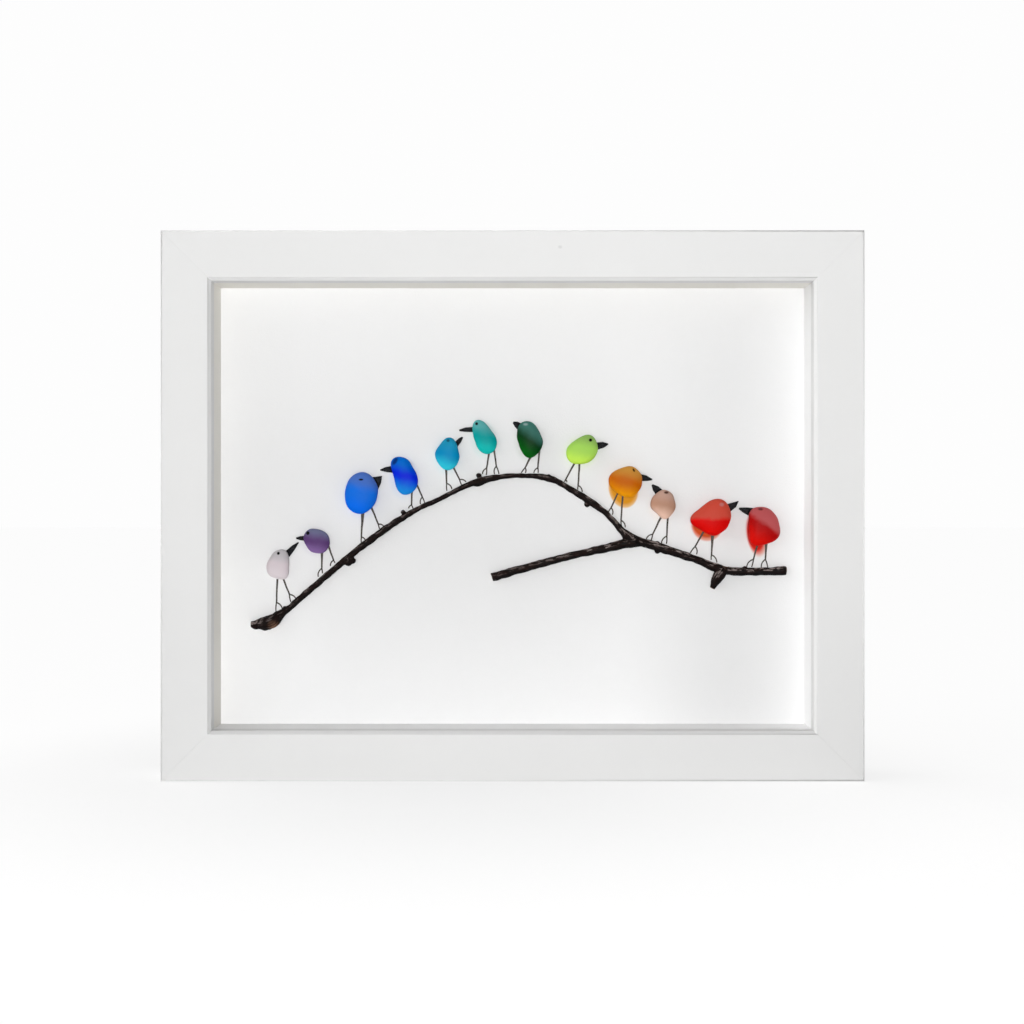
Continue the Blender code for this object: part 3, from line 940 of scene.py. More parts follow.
@dataclass
class BoxFrame(Assembly):
    """The four painted rails and the strips behind their lip."""

    low: Vector
    high: Vector
    face: float = 24.5 * MM
    sight_bevel: float = 1.5 * MM
    lip: float = 8 * MM
    overlap: float = 6 * MM
    joint_gap: float = 0.04 * MM
    outer_radius: float = 0.9 * MM
    inner_radius: float = 0.3 * MM
    arc_steps: int = 3
    slot_clearance: float = 0.12 * MM
    strip_radius: float = 0.15 * MM
    strip_advance: float = 0.4 * MM  # of its inner face
    strip_growth: float = 0.25 * MM  # towards the lip and the card
    strip_trim: float = 0.1 * MM  # of the upright ones' ends

    def place(self, side: Side) -> Matrix:
        """Turn a rail's own axes, which are inward, backward and along, into the frame's.

        Args:
            side: the rail's side.

        Returns:
            The matrix.
        """
        inward, backward = Vector(side.value), Vector((0, 1, 0))
        turn = Matrix((inward, backward, inward.cross(backward))).transposed()
        middle = (self.low + self.high) / 2
        half = (self.high.z - self.low.z) / 2 if side.is_long else (self.high.x - self.low.x) / 2
        origin = Vector((middle.x, self.low.y, middle.z)) - inward * half
        return Matrix.Translation(origin) @ turn.to_4x4()

    def half_length(self, side: Side) -> float:
        """Half the outer length of a side."""
        size = self.high - self.low
        return (size.x if side.is_long else size.z) / 2

    def section(self) -> tuple[list[Point], list[bool]]:
        """A rail's section with its edges rounded.

        Returns:
            The points, each with how far inward and how far back it is, and for each point whether the
            stretch to the next one belongs to a rounded edge.
        """
        depth = self.high.y - self.low.y
        inset = self.face - self.overlap
        corners = (
            (0.0, 0.0, self.outer_radius),
            (self.face - self.sight_bevel, 0.0, self.inner_radius),
            (self.face, self.sight_bevel, self.inner_radius),
            (self.face, self.lip, self.inner_radius),
            (inset, self.lip, 0.0),
            (inset, depth, self.inner_radius),
            (0.0, depth, self.outer_radius),
        )
        points: list[Point] = []
        curved: list[bool] = []
        for number, (u, v, radius) in enumerate(corners):
            corner = Vector((u, v))
            before = Vector(corners[number - 1][:2]) - corner
            after = Vector(corners[(number + 1) % len(corners)][:2]) - corner
            start = corner + before.normalized() * radius
            end = corner + after.normalized() * radius
            steps = self.arc_steps if radius else 0
            for step in range(steps + 1):
                share = step / steps if steps else 0.0
                bend = (1 - share) ** 2 * start + 2 * share * (1 - share) * corner + share**2 * end
                points.append((bend.x, bend.y))
                curved.append(step < steps)
        return points, curved

    def rail_mesh(self, side: Side) -> bpy.types.Mesh:
        """One rail, mitred at both ends.

        Args:
            side: the rail's side.

        Returns:
            The mesh.
        """
        points, curved = self.section()
        reach = self.half_length(side) - self.joint_gap / math.sqrt(2)
        place = self.place(side)
        corners = [place @ Vector((u, v, end * (reach - u))) for end in (-1, 1) for u, v in points]
        first_end, last_end, *around = ring_faces(2, len(points))
        mesh = mesh_from(corners, [*around, first_end, last_end])
        for polygon, is_curved in zip(mesh.polygons, [*curved, False, False]):
            polygon.use_smooth = is_curved
        return mesh

    def slotted(self, mesh: bpy.types.Mesh, side: Side) -> bpy.types.Mesh:
        """Cut the slots of a rail's two tabs.

        Args:
            mesh: the rail.
            side: its side.

        Returns:
            The rail with its slots.
        """
        clearance = Vector((self.slot_clearance,) * 3)
        cutters = []
        for number in (1, 2):
            low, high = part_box(f"tab_{side.label}_{number}")
            cutters.append(linked("slot", block_mesh(low - clearance, high + clearance)))
        cut = {"operation": "DIFFERENCE", "solver": "EXACT"}
        result = evaluated(mesh, *(("BOOLEAN", {"object": cutter, **cut}) for cutter in cutters))
        for cutter in cutters:
            bpy.data.objects.remove(cutter)
        return result

    def strip_box(self, node: str, side: Side) -> tuple[Vector, Vector]:
        """Where a strip is, grown to meet the lip in front of it and the card behind it.

        Args:
            node: the strip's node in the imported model.
            side: its side.

        Returns:
            Its lowest and its highest corner.
        """
        low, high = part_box(node)
        grown = Vector((0, self.strip_growth, 0))
        trimmed = Vector((0, 0, 0 if side.is_long else self.strip_trim))
        inward = Vector(side.value) * self.strip_advance
        low, high = low - grown + trimmed, high + grown - trimmed
        return (low, high + inward) if sum(side.value) > 0 else (low + inward, high)

    def build(self, paint: dict[Side, Finish], strip_paint: dict[Side, Finish]) -> None:
        """Build the rails and the strips.

        Args:
            paint: the rails' finish, by side, so that its brush marks run along each rail.
            strip_paint: the strips' finish, by side, with painted shade on the left and upper ones.
        """
        for side in Side:
            rail = self.slotted(self.rail_mesh(side), side)
            self.put(f"painted_rail_{side.label}", rail, paint[side], "white_paint", f"rail_{side.label}")
            node = f"spacer_{side.label}"
            strip = block_mesh(*self.strip_box(node, side), self.strip_radius)
            self.put(f"painted_strip_{side.label}", strip, strip_paint[side], "spacer_paint", node)


@dataclass
class Backing(Assembly):
    """The card that carries the art, the board behind it, and what holds and hangs them."""

    def build(self, paper: Finish, board: Finish, steel: Finish, zinc: Finish) -> None:
        """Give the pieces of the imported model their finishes.

        Args:
            paper: for the card.
            board: for the back board.
            steel: for the tabs and rivets.
            zinc: for the hanger.
        """
        self.dress("card", paper)
        self.dress("back_board", board)
        self.dress("hanger", zinc)
        for name in sorted(self.nodes):
            if name.startswith(("tab_", "rivet_")):
                self.dress(name, steel)


@dataclass(frozen=True)
class LimbPoint:
    """A point on the middle line of a limb, and the limb's radius there, in the art's millimetres."""

    x: float
    z: float
    radius: float


@dataclass(frozen=True)
class Knob:
    """A bud or a knot: its middle, its radius, and how far in front of the card its middle is."""

    x: float
    z: float
    radius: float
    depth: float


@dataclass(frozen=True)
class LimbSpot:
    """A place inside a limb, and how far it is from the limb's ends, in millimetres."""

    middle: Vector
    direction: Vector
    limb: int
    from_start: float
    from_end: float


@dataclass(frozen=True)
class Bark:
    """The bark at one point."""

    flow: Vector  # where it is along and around its limb, in metres
    bare: float  # how bare the wood is
    wear: float  # how strong the painted highlight is there
    lift: float  # how far it stands out, in millimetres


@dataclass
class Twig(Assembly):
    """One natural twig: its stem, a side branch, a broken stub, and buds and knots."""

    board: Artboard
    limbs: tuple[tuple[LimbPoint, ...], ...]  # the stem comes first
    knobs: tuple[Knob, ...]
    gap: float = 0.2  # to the card
    ring_spacing: float = 0.5
    ring_sides: int = 20
    cell: float = 0.3 * MM
    easing: float = 0.5
    easing_rounds: int = 2
    ridge_height: float = 0.16
    ridge_grain: Point = (0.22, 1.1)  # along the limb and around it
    lump_height: float = 0.28
    lump_grain: Point = (0.35, 0.3)
    heel_lumps: float = 0.5  # how much higher they are at the heel
    heel_length: float = 14.0
    sinking: float = 0.05  # of the bark between its lumps
    end_length: float = 1.2
    end_facing: Point = (0.55, 0.8)  # from where and to where a face counts as cut across
    heel_cut: float = 0.7  # how bare the end of the heel is
    torn: tuple[float, float, float] = (-118.8, -59.8, 2.2)  # x, z and radius of its torn face
    torn_spread: float = 1.6
    torn_bareness: float = 0.8
    highlight_from: float = -20.0  # the painted highlight on the bark is stronger from here to the right
    highlight_length: float = 90.0
    least_highlight: float = 0.35
    limb_offset: float = 400.0  # between the bark of two limbs

    def smooth_line(self, points: Sequence[LimbPoint]) -> np.ndarray:
        """A smooth line through a limb's points.

        Args:
            points: the limb's points.

        Returns:
            Rows of x, z and radius, at an even spacing.
        """
        rows = np.array([(point.x, point.z, point.radius) for point in points])
        padded = np.vstack([2 * rows[0] - rows[1], rows, 2 * rows[-1] - rows[-2]])
        line = []
        for before, start, end, after in zip(padded, padded[1:], padded[2:], padded[3:]):
            count = max(2, int(np.hypot(*(end - start)[:2]) / self.ring_spacing))
            t = np.arange(count)[:, None] / count
            curve = 2 * start + (end - before) * t + (2 * before - 5 * start + 4 * end - after) * t**2
            line.append((curve + (3 * start - before - 3 * end + after) * t**3) / 2)
        return np.vstack([*line, rows[-1:]])

    @staticmethod
    def directions(line: np.ndarray) -> np.ndarray:
        """Which way a limb's line runs at each of its rows."""
        ahead = np.gradient(line[:, :2], axis=0)
        return ahead / np.linalg.norm(ahead, axis=1)[:, None]

    def tube(self, line: np.ndarray) -> list[Vector]:
        """The corners of a tube around a limb's line.

        Args:
            line: rows of x, z and radius.

        Returns:
            The corners, ring by ring.
        """
        corners = []
        for (x, z, radius), (along_x, along_z) in zip(line, self.directions(line)):
            for side in range(self.ring_sides):
                turn = math.tau * side / self.ring_sides
                across, out = radius * math.cos(turn), radius * math.sin(turn)
                depth = radius + self.gap + out
                corners.append(self.board.at(x - along_z * across, z + along_x * across, depth))
        return corners

    def blank(self, lines: Sequence[np.ndarray]) -> bpy.types.Mesh:
        """The limbs and knobs, melted into one closed surface.

        Args:
            lines: each limb's line.

        Returns:
            The mesh.
        """
        shell = bmesh.new()
        for line in lines:
            add_tube(shell, self.tube(line), self.ring_sides)
        for knob in self.knobs:
            place = Matrix.Translation(self.board.at(knob.x, knob.z, knob.depth))
            bmesh.ops.create_icosphere(shell, subdivisions=2, radius=knob.radius * MM, matrix=place)
        bmesh.ops.recalc_face_normals(shell, faces=shell.faces)
        melt = ("REMESH", {"mode": "VOXEL", "voxel_size": self.cell, "use_smooth_shade": True})
        ease = ("SMOOTH", {"factor": self.easing, "iterations": self.easing_rounds})
        return evaluated(mesh_of(shell), melt, ease)

    def spots(self, lines: Sequence[np.ndarray]) -> list[LimbSpot]:
        """The places inside the limbs that the bark is laid out from.

        Args:
            lines: each limb's line.

        Returns:
            A place for each row of the lines.
        """
        spots = []
        for limb, line in enumerate(lines):
            steps = np.hypot(*np.diff(line[:, :2], axis=0).T)
            run = np.concatenate([[0.0], np.cumsum(steps)])
            for (x, z, radius), (along_x, along_z), distance in zip(line, self.directions(line), run):
                middle, direction = self.board.at(x, z, radius + self.gap), Vector((along_x, 0, along_z))
                spots.append(LimbSpot(middle, direction, limb, distance, run[-1] - distance))
        return spots

    def bark_at(self, place: Vector, normal: Vector, spot: LimbSpot) -> Bark:
        """The bark at one point of the twig.

        Args:
            place: the point.
            normal: which way the surface faces.
            spot: the nearest place inside a limb.

        Returns:
            The bark.
        """
        away = place - spot.middle
        ahead = away.dot(spot.direction)
        along = spot.from_start + self.limb_offset * spot.limb + ahead / MM
        around = (away - spot.direction * ahead) / MM
        flow = Vector((along, around.y, around.dot(spot.direction.cross(Vector((0, 1, 0))))))
        heel = max(0.0, 1.0 - max(0.0, along) / self.heel_length) if spot.limb == 0 else 0.0

        fine, coarse = self.ridge_grain, self.lump_grain
        ridges = unevenness(flow.x * fine[0], flow.y * fine[1], flow.z * fine[1])
        lumps = unevenness(flow.x * coarse[0], flow.y * coarse[1], flow.z * coarse[1])
        lump_height = self.lump_height + self.heel_lumps * heel
        lift = self.ridge_height * ridges + lump_height * lumps - self.sinking

        low, high = self.end_facing
        is_end = min(spot.from_start, spot.from_end) < self.end_length
        cut = max(0.0, abs(normal.dot(spot.direction)) - low) / (high - low) if is_end else 0.0
        off = (place - self.board.at(self.torn[0], self.torn[1])) / MM
        torn = self.torn_spread - math.hypot(off.x, off.z) / self.torn[2]
        bare = max(0.0, self.heel_cut * cut, self.torn_bareness * torn) if heel else cut
        # the painted highlight's strength: stronger to the right and at the heel
        rightward = (place.x / MM - self.highlight_from) / self.highlight_length
        wear = min(1.0, max(self.least_highlight, rightward, heel))
        return Bark(flow * MM, min(1.0, bare), wear, lift)

    def build(self, bark: Finish) -> None:
        """Build the twig, with bark that runs along its limbs.

        Args:
            bark: its finish.
        """
        lines = [self.smooth_line(limb) for limb in self.limbs]
        mesh = self.blank(lines)
        spots = self.spots(lines)
        tree = kdtree.KDTree(len(spots))
        for number, spot in enumerate(spots):
            tree.insert(spot.middle, number)
        tree.balance()
        count = len(mesh.vertices)
        places, normals = np.zeros(count * 3), np.zeros(count * 3)
        mesh.vertices.foreach_get("co", places)
        mesh.vertices.foreach_get("normal", normals)
        places, normals = places.reshape(-1, 3), normals.reshape(-1, 3)
        barks = [
            self.bark_at(Vector(place), Vector(normal), spots[tree.find(place)[1]])
            for place, normal in zip(places, normals)
        ]
        places += normals * np.array([[bark.lift * MM] for bark in barks])
        mesh.vertices.foreach_set("co", places.ravel())
        flow = mesh.attributes.new("flow", "FLOAT_VECTOR", "POINT")
        flow.data.foreach_set("vector", np.array([bark.flow for bark in barks]).ravel())
        for name in ("bare", "wear"):
            values = np.array([getattr(bark, name) for bark in barks])
            mesh.attributes.new(name, "FLOAT", "POINT").data.foreach_set("value", values)
        self.put("bark_twig", smooth(mesh), bark, "bark", "twig")


@dataclass(frozen=True)
class PebbleShape:
    """A pebble's outline: how far it reaches from a middle point, every 15 degrees from the right upward."""

    x: float
    z: float
    reaches: tuple[float, ...]
    finest_wave: int = 8

    def reach(self, turn: np.ndarray) -> np.ndarray:
        """How far the smooth outline is from the middle.

        Args:
            turn: directions from the middle, in radians.

        Returns:
            The distance in each direction, in millimetres.
        """
        waves = np.fft.rfft(self.reaches)[: self.finest_wave + 1] / len(self.reaches)
        waves[1:] *= 2
        return (waves @ np.exp(1j * np.outer(np.arange(len(waves)), turn))).real

    def edge(self, turn: np.ndarray) -> tuple[np.ndarray, np.ndarray]:
        """How far right and how far up the outline is from the middle, in directions in radians."""
        reach = self.reach(turn)
        return reach * np.cos(turn), reach * np.sin(turn)

    @property
    def narrowest(self) -> float:
        """The least width across the middle."""
        half = len(self.reaches) // 2
        return min(near + far for near, far in zip(self.reaches, self.reaches[half:]))

    @property
    def oval(self) -> Oval:
        """The oval that fills the outline's upright box.

        Returns:
            The oval.
        """
        x, z = self.edge(np.linspace(0, math.tau, 180))
        middle = (self.x + float(x.max() + x.min()) / 2, self.z + float(z.max() + z.min()) / 2)
        return Oval(*middle, float(np.ptp(x)) / 2, float(np.ptp(z)) / 2)


@dataclass(frozen=True)
class BeakShape:
    """A stone chip: its two corners against the pebble, and its free corners on from the second one."""

    root: tuple[Point, Point]
    free: tuple[Point, ...]


@dataclass(frozen=True)
class Leg:
    """A leg drawn on the card: hip, ankle and toes as points of the art, and its width at the hip."""

    hip: Point
    ankle: Point
    toes: tuple[Point, ...]
    hip_width: float
    ankle_width: float = 0.8
    toe_width: float = 0.6


@dataclass(frozen=True)
class BirdPlan:
    """What one bird is made of."""

    name: str
    pebble: PebbleShape
    beak: BeakShape
    legs: tuple[Leg, ...]
    eye_and_glint: Spot
    # the painted sheen at the top, the glass's own colour, and the painted glow at the foot
    top: Colour
    middle: Colour
    foot: Colour
    line: float = 0.4
    edge: float = 0.4
    upward_lean: float = 12.0
    glows: tuple[Spot, ...] = ()
    faint_shift: Point = (-0.6, -1.0)
    faint_size: Point = (0.95, 0.97)  # as a share of the pebble's
    faint_strength: float = 0.14
    faint_softness: float = 0.3

    def thrown_light(self) -> tuple[Spot, ...]:
        """The light below the pebble.

        Returns:
            Its own glows, or a faint one.
        """
        if self.glows:
            return self.glows
        oval, (right, up), (wide, high) = self.pebble.oval, self.faint_shift, self.faint_size
        faint = Oval(oval.x + right, oval.z + up, wide * oval.half_width, high * oval.half_height)
        return (Spot(faint, self.foot, self.faint_strength, self.faint_softness),)

    def glass(self, board: Artboard) -> GlassFinish:
        """The pebble's glass.

        Args:
            board: where the art is.

        Returns:
            The finish.
        """
        tints = (self.top, self.middle, self.foot)
        shape = (self.line, self.edge, self.upward_lean)
        return GlassFinish(f"sea glass {self.name}", *tints, self.pebble.oval, board, self.eye_and_glint, *shape)


@dataclass
class Bird(Assembly):
    """One bird: the pebble, its stone beak and its ink legs."""

    board: Artboard
    plan: BirdPlan
    flatness: float = 0.5
    back: float = 0.75
    rounding: float = 2.5
    glue_gap: float = 0.3
    segments: int = 96
    rings: int = 40
    dents: float = 0.14
    dent_grain: Point = (0.22, 0.3)  # over the face, and from back to front
    tuck: float = 0.25  # of the beak against the pebble
    root_points: int = 5
    chip_length: float = 0.8
    chip_depth: float = 0.04
    chip_grain: float = 1.3
    beak_layers: tuple[Point, ...] = ((0.92, 0.0), (1.0, 0.25), (1.0, 0.9), (0.8, 1.44), (0.35, 1.8))
    beak_roughness: float = 0.12
    sharp_angle: float = 38.0
    film: Point = (0.02, 0.05)  # how far the ink's underside and top are from the card
    shake: float = 0.012  # of the hand that drew the line, as a share of its length
    shake_length: float = 3.0
    leg_points: int = 14
    toe_points: int = 9
    hip_tuck: float = 1.2  # how far a leg goes on behind the pebble
    straight_bow: float = 0.04
    side_bow: float = 0.16
    toe_root: float = 0.85  # how wide a toe starts, as a share of the ankle

    @property
    def half_thickness(self) -> float:
        """Half the pebble's thickness before its back is flattened."""
        return self.flatness * self.plan.pebble.narrowest / 2

    def pebble_mesh(self) -> bpy.types.Mesh:
        """The worn pebble, flattened where it is glued.

        Returns:
            The mesh.
        """
        shape, half = self.plan.pebble, self.half_thickness
        glued = self.back * half
        turns = np.linspace(0, math.tau, self.segments, endpoint=False)
        edge_x, edge_z = shape.edge(turns)
        corners = []
        for ring in range(1, self.rings):
            tilt = math.pi * (ring / self.rings - 0.5)
            spread = math.cos(tilt) ** (2 / self.rounding)
            forward = half * math.copysign(abs(math.sin(tilt)) ** (2 / self.rounding), math.sin(tilt))
            depth = max(forward, -glued) + glued
            for x, z in zip(edge_x, edge_z):
                corners.append(self.worn_point(shape.x + x * spread, shape.z + z * spread, depth))
        corners.append(self.board.at(shape.x, shape.z, self.glue_gap))
        corners.append(self.worn_point(shape.x, shape.z, half + glued))
        return self.shell(corners)

    def worn_point(self, x: float, z: float, depth: float) -> Vector:
        """A point of the pebble's surface, worn back a little unevenly.

        Args:
            x: how far right it is before wear.
            z: how far up it is.
            depth: how far it is in front of the glued side.

        Returns:
            The point, in metres.
        """
        shape, (over, through) = self.plan.pebble, self.dent_grain
        wear = 0.5 + 0.5 * unevenness(x * over, z * over, depth * through)
        share = 1 - self.dents * wear / (0.5 * shape.narrowest)
        right, up = shape.x + (x - shape.x) * share, shape.z + (z - shape.z) * share
        return self.board.at(right, up, self.glue_gap + depth * share)

    def shell(self, corners: list[Vector]) -> bpy.types.Mesh:
        """Close the pebble's rings with their two poles.

        Args:
            corners: the rings from back to front, then the back pole and the front pole.

        Returns:
            The mesh, shaded smooth.
        """
        count, last = self.segments, (self.rings - 2) * self.segments
        back, front = len(corners) - 2, len(corners) - 1
        faces = []
        for side in range(count):
            beside = (side + 1) % count
            faces.append((back, side, beside))
            faces.append((front, last + beside, last + side))
            for ring in range(self.rings - 2):
                start = ring * count
                faces.append((start + side, start + beside, start + beside + count, start + side + count))
        return smooth(mesh_from(corners, faces))

    def beak_outline(self) -> list[Vector]:
        """The beak's outline on the card, rough as broken stone is.

        Returns:
            Its points, in the art's millimetres.
        """
        pebble, beak = self.plan.pebble, self.plan.beak
        centre = Vector((pebble.x, pebble.z))
        ends = [Vector(corner) - centre for corner in beak.root]
        start = math.atan2(ends[0].y, ends[0].x)
        turn = ends[1].angle_signed(ends[0])
        root = []
        for share in np.linspace(0, 1, self.root_points):
            angle = start + share * turn
            reach = float(pebble.reach(np.array([angle]))[0]) - self.tuck
            root.append(centre + Vector((math.cos(angle), math.sin(angle))) * reach)
        corners = [*root, *(Vector(corner) for corner in beak.free)]
        outline = []
        for begin, end in zip(corners, corners[1:] + corners[:1]):
            steps = max(1, int((end - begin).length / self.chip_length))
            outline.extend(begin.lerp(end, step / steps) for step in range(steps))
        middle = sum(outline, Vector((0, 0))) / len(outline)
        grain = self.chip_grain
        return [
            point + (point - middle) * self.chip_depth * unevenness(point.x * grain, point.y * grain)
            for point in outline
        ]

    def beak_mesh(self) -> bpy.types.Mesh:
        """A stone chip with steep sides and a low crown.

        Returns:
            The mesh.
        """
        outline = self.beak_outline()
        middle = sum(outline, Vector((0, 0))) / len(outline)
        corners = []
        for number, (share, height) in enumerate(self.beak_layers):
            depth = self.glue_gap + height
            for point in outline:
                spot = middle + (point - middle) * share
                rough = self.beak_roughness * unevenness(spot.x, spot.y, depth) if number > 1 else 0.0
                corners.append(self.board.at(spot.x, spot.y, depth + rough))
        mesh = smooth(mesh_from(corners, ring_faces(len(self.beak_layers), len(outline))))
        mesh.set_sharp_from_angle(angle=math.radians(self.sharp_angle))
        return mesh

    def ribbon(self, shell: bmesh.types.BMesh, points: Sequence[Vector], widths: Sequence[float]) -> None:
        """Lay one stroke of ink on the card.

        Args:
            shell: the edit mesh that it goes into.
            points: the stroke's middle line, in the art's millimetres.
            widths: its width at each point.
        """
        under, over = self.film
        section = ((-1, under), (1, under), (1, over), (-1, over))
        corners = []
        for number, (point, width) in enumerate(zip(points, widths)):
            ahead = points[min(number + 1, len(points) - 1)] - points[max(number - 1, 0)]
            across = Vector((-ahead.y, ahead.x)).normalized() * width / 2
            for side, depth in section:
                spot = point + across * side
                corners.append(self.board.at(spot.x, spot.y, depth))
        add_tube(shell, corners, len(section))

    def stroke(self, start: Vector, end: Vector, bow: float, count: int) -> list[Vector]:
        """A hand-drawn line between two points.

        Args:
            start: where it starts.
            end: where it ends.
            bow: how far its middle bends to the left, as a share of its length.
            count: how many points it gets.

        Returns:
            The points.
        """
        across = Vector((start.y - end.y, end.x - start.x))
        line = []
        for share in (number / (count - 1) for number in range(count)):
            shake = self.shake * unevenness(start.x + self.shake_length * share, start.y)
            line.append(start.lerp(end, share) + across * (bow * 4 * share * (1 - share) + shake))
        return line

    def ink_mesh(self) -> bpy.types.Mesh:
        """The legs and toes.

        Returns:
            The mesh.
        """
        shell = bmesh.new()
        for leg in self.plan.legs:
            hip, ankle = Vector(leg.hip), Vector(leg.ankle)
            hip += (hip - ankle).normalized() * self.hip_tuck
            line = self.stroke(hip, ankle, 0.0, self.leg_points)
            shares = np.linspace(0, 1, len(line))
            widths = leg.ankle_width + (leg.hip_width - leg.ankle_width) * (1 - shares) ** 2
            self.ribbon(shell, line, widths)
            ways = [Vector(toe) - ankle for toe in leg.toes]
            straight = max(ways, key=lambda way: way.normalized().dot((ankle - hip).normalized()))
            for way, other in zip(ways, reversed(ways)):
                bow = self.straight_bow if way is straight else self.side_bow
                bow = math.copysign(bow, -(way.x * other.y - way.y * other.x))
                points = self.stroke(ankle, ankle + way, bow, self.toe_points)
                taper = np.linspace(leg.ankle_width * self.toe_root, leg.toe_width, len(points))
                self.ribbon(shell, points, taper)
        bmesh.ops.recalc_face_normals(shell, faces=shell.faces)
        return mesh_of(shell)

    def build(self, stone: Finish, ink: Finish) -> None:
        """Build the bird.

        Args:
            stone: the beak's finish.
            ink: the legs' finish.
        """
        name, pebble = self.plan.name, self.pebble_mesh()
        glass = self.plan.glass(self.board)
        self.put(f"glass_pebble_{name}", pebble, glass, f"glass_{name}", f"pebble_{name}")
        self.put(f"stone_beak_{name}", self.beak_mesh(), stone, "slate", f"beak_{name}")
        self.put(f"ink_legs_{name}", self.ink_mesh(), ink, "slate")


@dataclass
class Studio:
    """The floor, the light and the camera."""

    effects: Effects
    floor_size: float = 24.0
    left_light: float = 3.45  # the room's light from the left, and from the right
    right_light: float = 0.03
    fading: float = 6.5
    seen_white: float = 0.984
    lamp_power: float = 50.0
    lamp_radius: float = 0.05
    lamp_place: tuple[float, float, float] = (0.0, -1.5, 0.15)
    camera_place: tuple[float, float, float] = (-0.00027, -0.752, 0.1305)
    lens: float = 53.24
    sensor_width: float = 36.0

    def build(self, floor: Finish) -> None:
        """Build the studio.

        Args:
            floor: the floor's finish.
        """
        self.lay_floor(floor)
        self.light_world()
        self.hang_key_light()
        self.set_camera()
        bpy.context.scene.view_settings.view_transform = "Standard"

    def lay_floor(self, finish: Finish) -> None:
        """Lay a wide floor under the frame.

        Args:
            finish: the floor's finish.
        """
        shell = bmesh.new()
        bmesh.ops.create_grid(shell, x_segments=1, y_segments=1, size=self.floor_size / 2)
        mesh = mesh_of(shell)
        mesh.materials.append(finish.material(self.effects))
        linked("studio_floor", mesh)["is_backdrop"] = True

    def light_world(self) -> None:
        """Light everything softly, most of all from the left, in front of a white background."""
        world = bpy.data.worlds.new("studio")
        bpy.context.scene.world = world
        world.use_nodes = True
        wiring = Wiring(world.node_tree)
        direction = wiring.add("ShaderNodeTexCoord").outputs["Generated"]
        sideways = wiring.add("ShaderNodeSeparateXYZ", {0: direction}).outputs["X"]
        inputs = {"Value": sideways, "From Min": 1.0, "From Max": -1.0}
        leftward = wiring.add("ShaderNodeMapRange", inputs).outputs["Result"]
        inputs = {"Value": wiring.maths("POWER", leftward, self.fading)}
        inputs |= {"To Min": self.right_light, "To Max": self.left_light}
        light = wiring.add("ShaderNodeMapRange", inputs).outputs["Result"]
        seen = wiring.add("ShaderNodeLightPath").outputs["Is Camera Ray"]
        inputs = {"Value": seen, "To Min": light, "To Max": self.seen_white}
        strength = wiring.add("ShaderNodeMapRange", inputs).outputs["Result"]
        wiring.fill(world.node_tree.nodes["Background"], {"Color": grey(1.0), "Strength": strength})

    def hang_key_light(self) -> None:
        """Hang a soft lamp straight in front of the picture, so that the shadows fall behind the art."""
        light = bpy.data.lights.new("key light", "POINT")
        light.energy = self.lamp_power
        light.shadow_soft_size = self.lamp_radius
        linked("key light", light).location = self.lamp_place

    def set_camera(self) -> None:
        """Stand the camera level in front of the picture."""
        camera = bpy.data.cameras.new("camera")
        camera.lens = self.lens
        camera.sensor_width = self.sensor_width
        stand = linked("camera", camera)
        stand.location = self.camera_place
        stand.rotation_euler = (math.pi / 2, 0, 0)
        bpy.context.scene.camera = stand


# The real object


# The stem, the side branch and the broken stub, each point with its x, z and radius

LIMBS = tuple(
    tuple(LimbPoint(*point) for point in points)
    for points in (
        (
            (-131.0, -59.1, 1.4), (-128.0, -59.1, 2.5), (-124.6, -58.7, 3.3), (-121.2, -58.0, 3.6),
            (-118.4, -56.4, 3.2), (-115.4, -53.6, 2.2), (-111.2, -50.5, 1.6), (-106.1, -46.1, 1.6),
            (-81.3, -25.0, 1.7), (-63.8, -11.8, 1.8), (-49.8, -2.8, 1.4), (-36.3, 3.7, 1.3),
            (-22.4, 10.5, 1.4), (-17.4, 11.8, 2.1), (-12.4, 13.5, 1.7), (-1.3, 15.1, 1.3),
            (8.7, 15.1, 1.2), (17.2, 14.1, 1.8), (25.2, 10.7, 1.5), (38.2, 2.5, 1.8), (46.6, -3.5, 1.5),
            (52.9, -10.2, 1.6), (57.8, -15.3, 2.5), (63.7, -17.7, 2.2), (72.0, -20.3, 2.3),
            (79.7, -22.7, 2.2), (92.2, -27.0, 1.9), (102.0, -30.9, 2.3), (110.0, -32.6, 2.2),
            (128.7, -32.6, 2.1), (135.6, -32.2, 2.3), (136.9, -32.2, 1.7),
        ),
        (
            (66.0, -18.6, 1.5), (60.0, -18.3, 2.5), (53.7, -19.4, 2.4), (43.7, -21.7, 2.1),
            (34.7, -23.7, 1.9), (23.7, -26.2, 2.0), (7.7, -30.6, 2.0), (-10.4, -35.7, 2.2),
        ),
        (
            (106.0, -31.4, 2.4), (103.4, -34.2, 2.9), (101.3, -37.8, 2.3), (99.7, -41.2, 1.3),
        ),
    )
)

# The buds and knots, each with its x, z, radius and depth

KNOBS = tuple(
    Knob(*knob)
    for knob in (
        (-82.3, -27.9, 2.3, 2.2), (-79.9, -27.2, 1.7, 2.4), (-54.6, -3.2, 1.4, 1.9),
        (-16.8, 15.2, 1.5, 1.9), (18.0, 14.6, 1.5, 1.9), (37.3, 0.9, 1.6, 1.9),
        (-121.4, -60.6, 1.6, 2.2), (-127.4, -60.0, 1.5, 2.4), (60.6, -17.5, 2.9, 2.9),
        (72.2, -18.9, 1.6, 2.3), (116.2, -31.4, 1.6, 2.2), (-114.0, -51.2, 1.4, 2.0),
        (107.6, -33.0, 1.8, 2.3), (72.4, -22.3, 1.7, 2.3),
    )
)
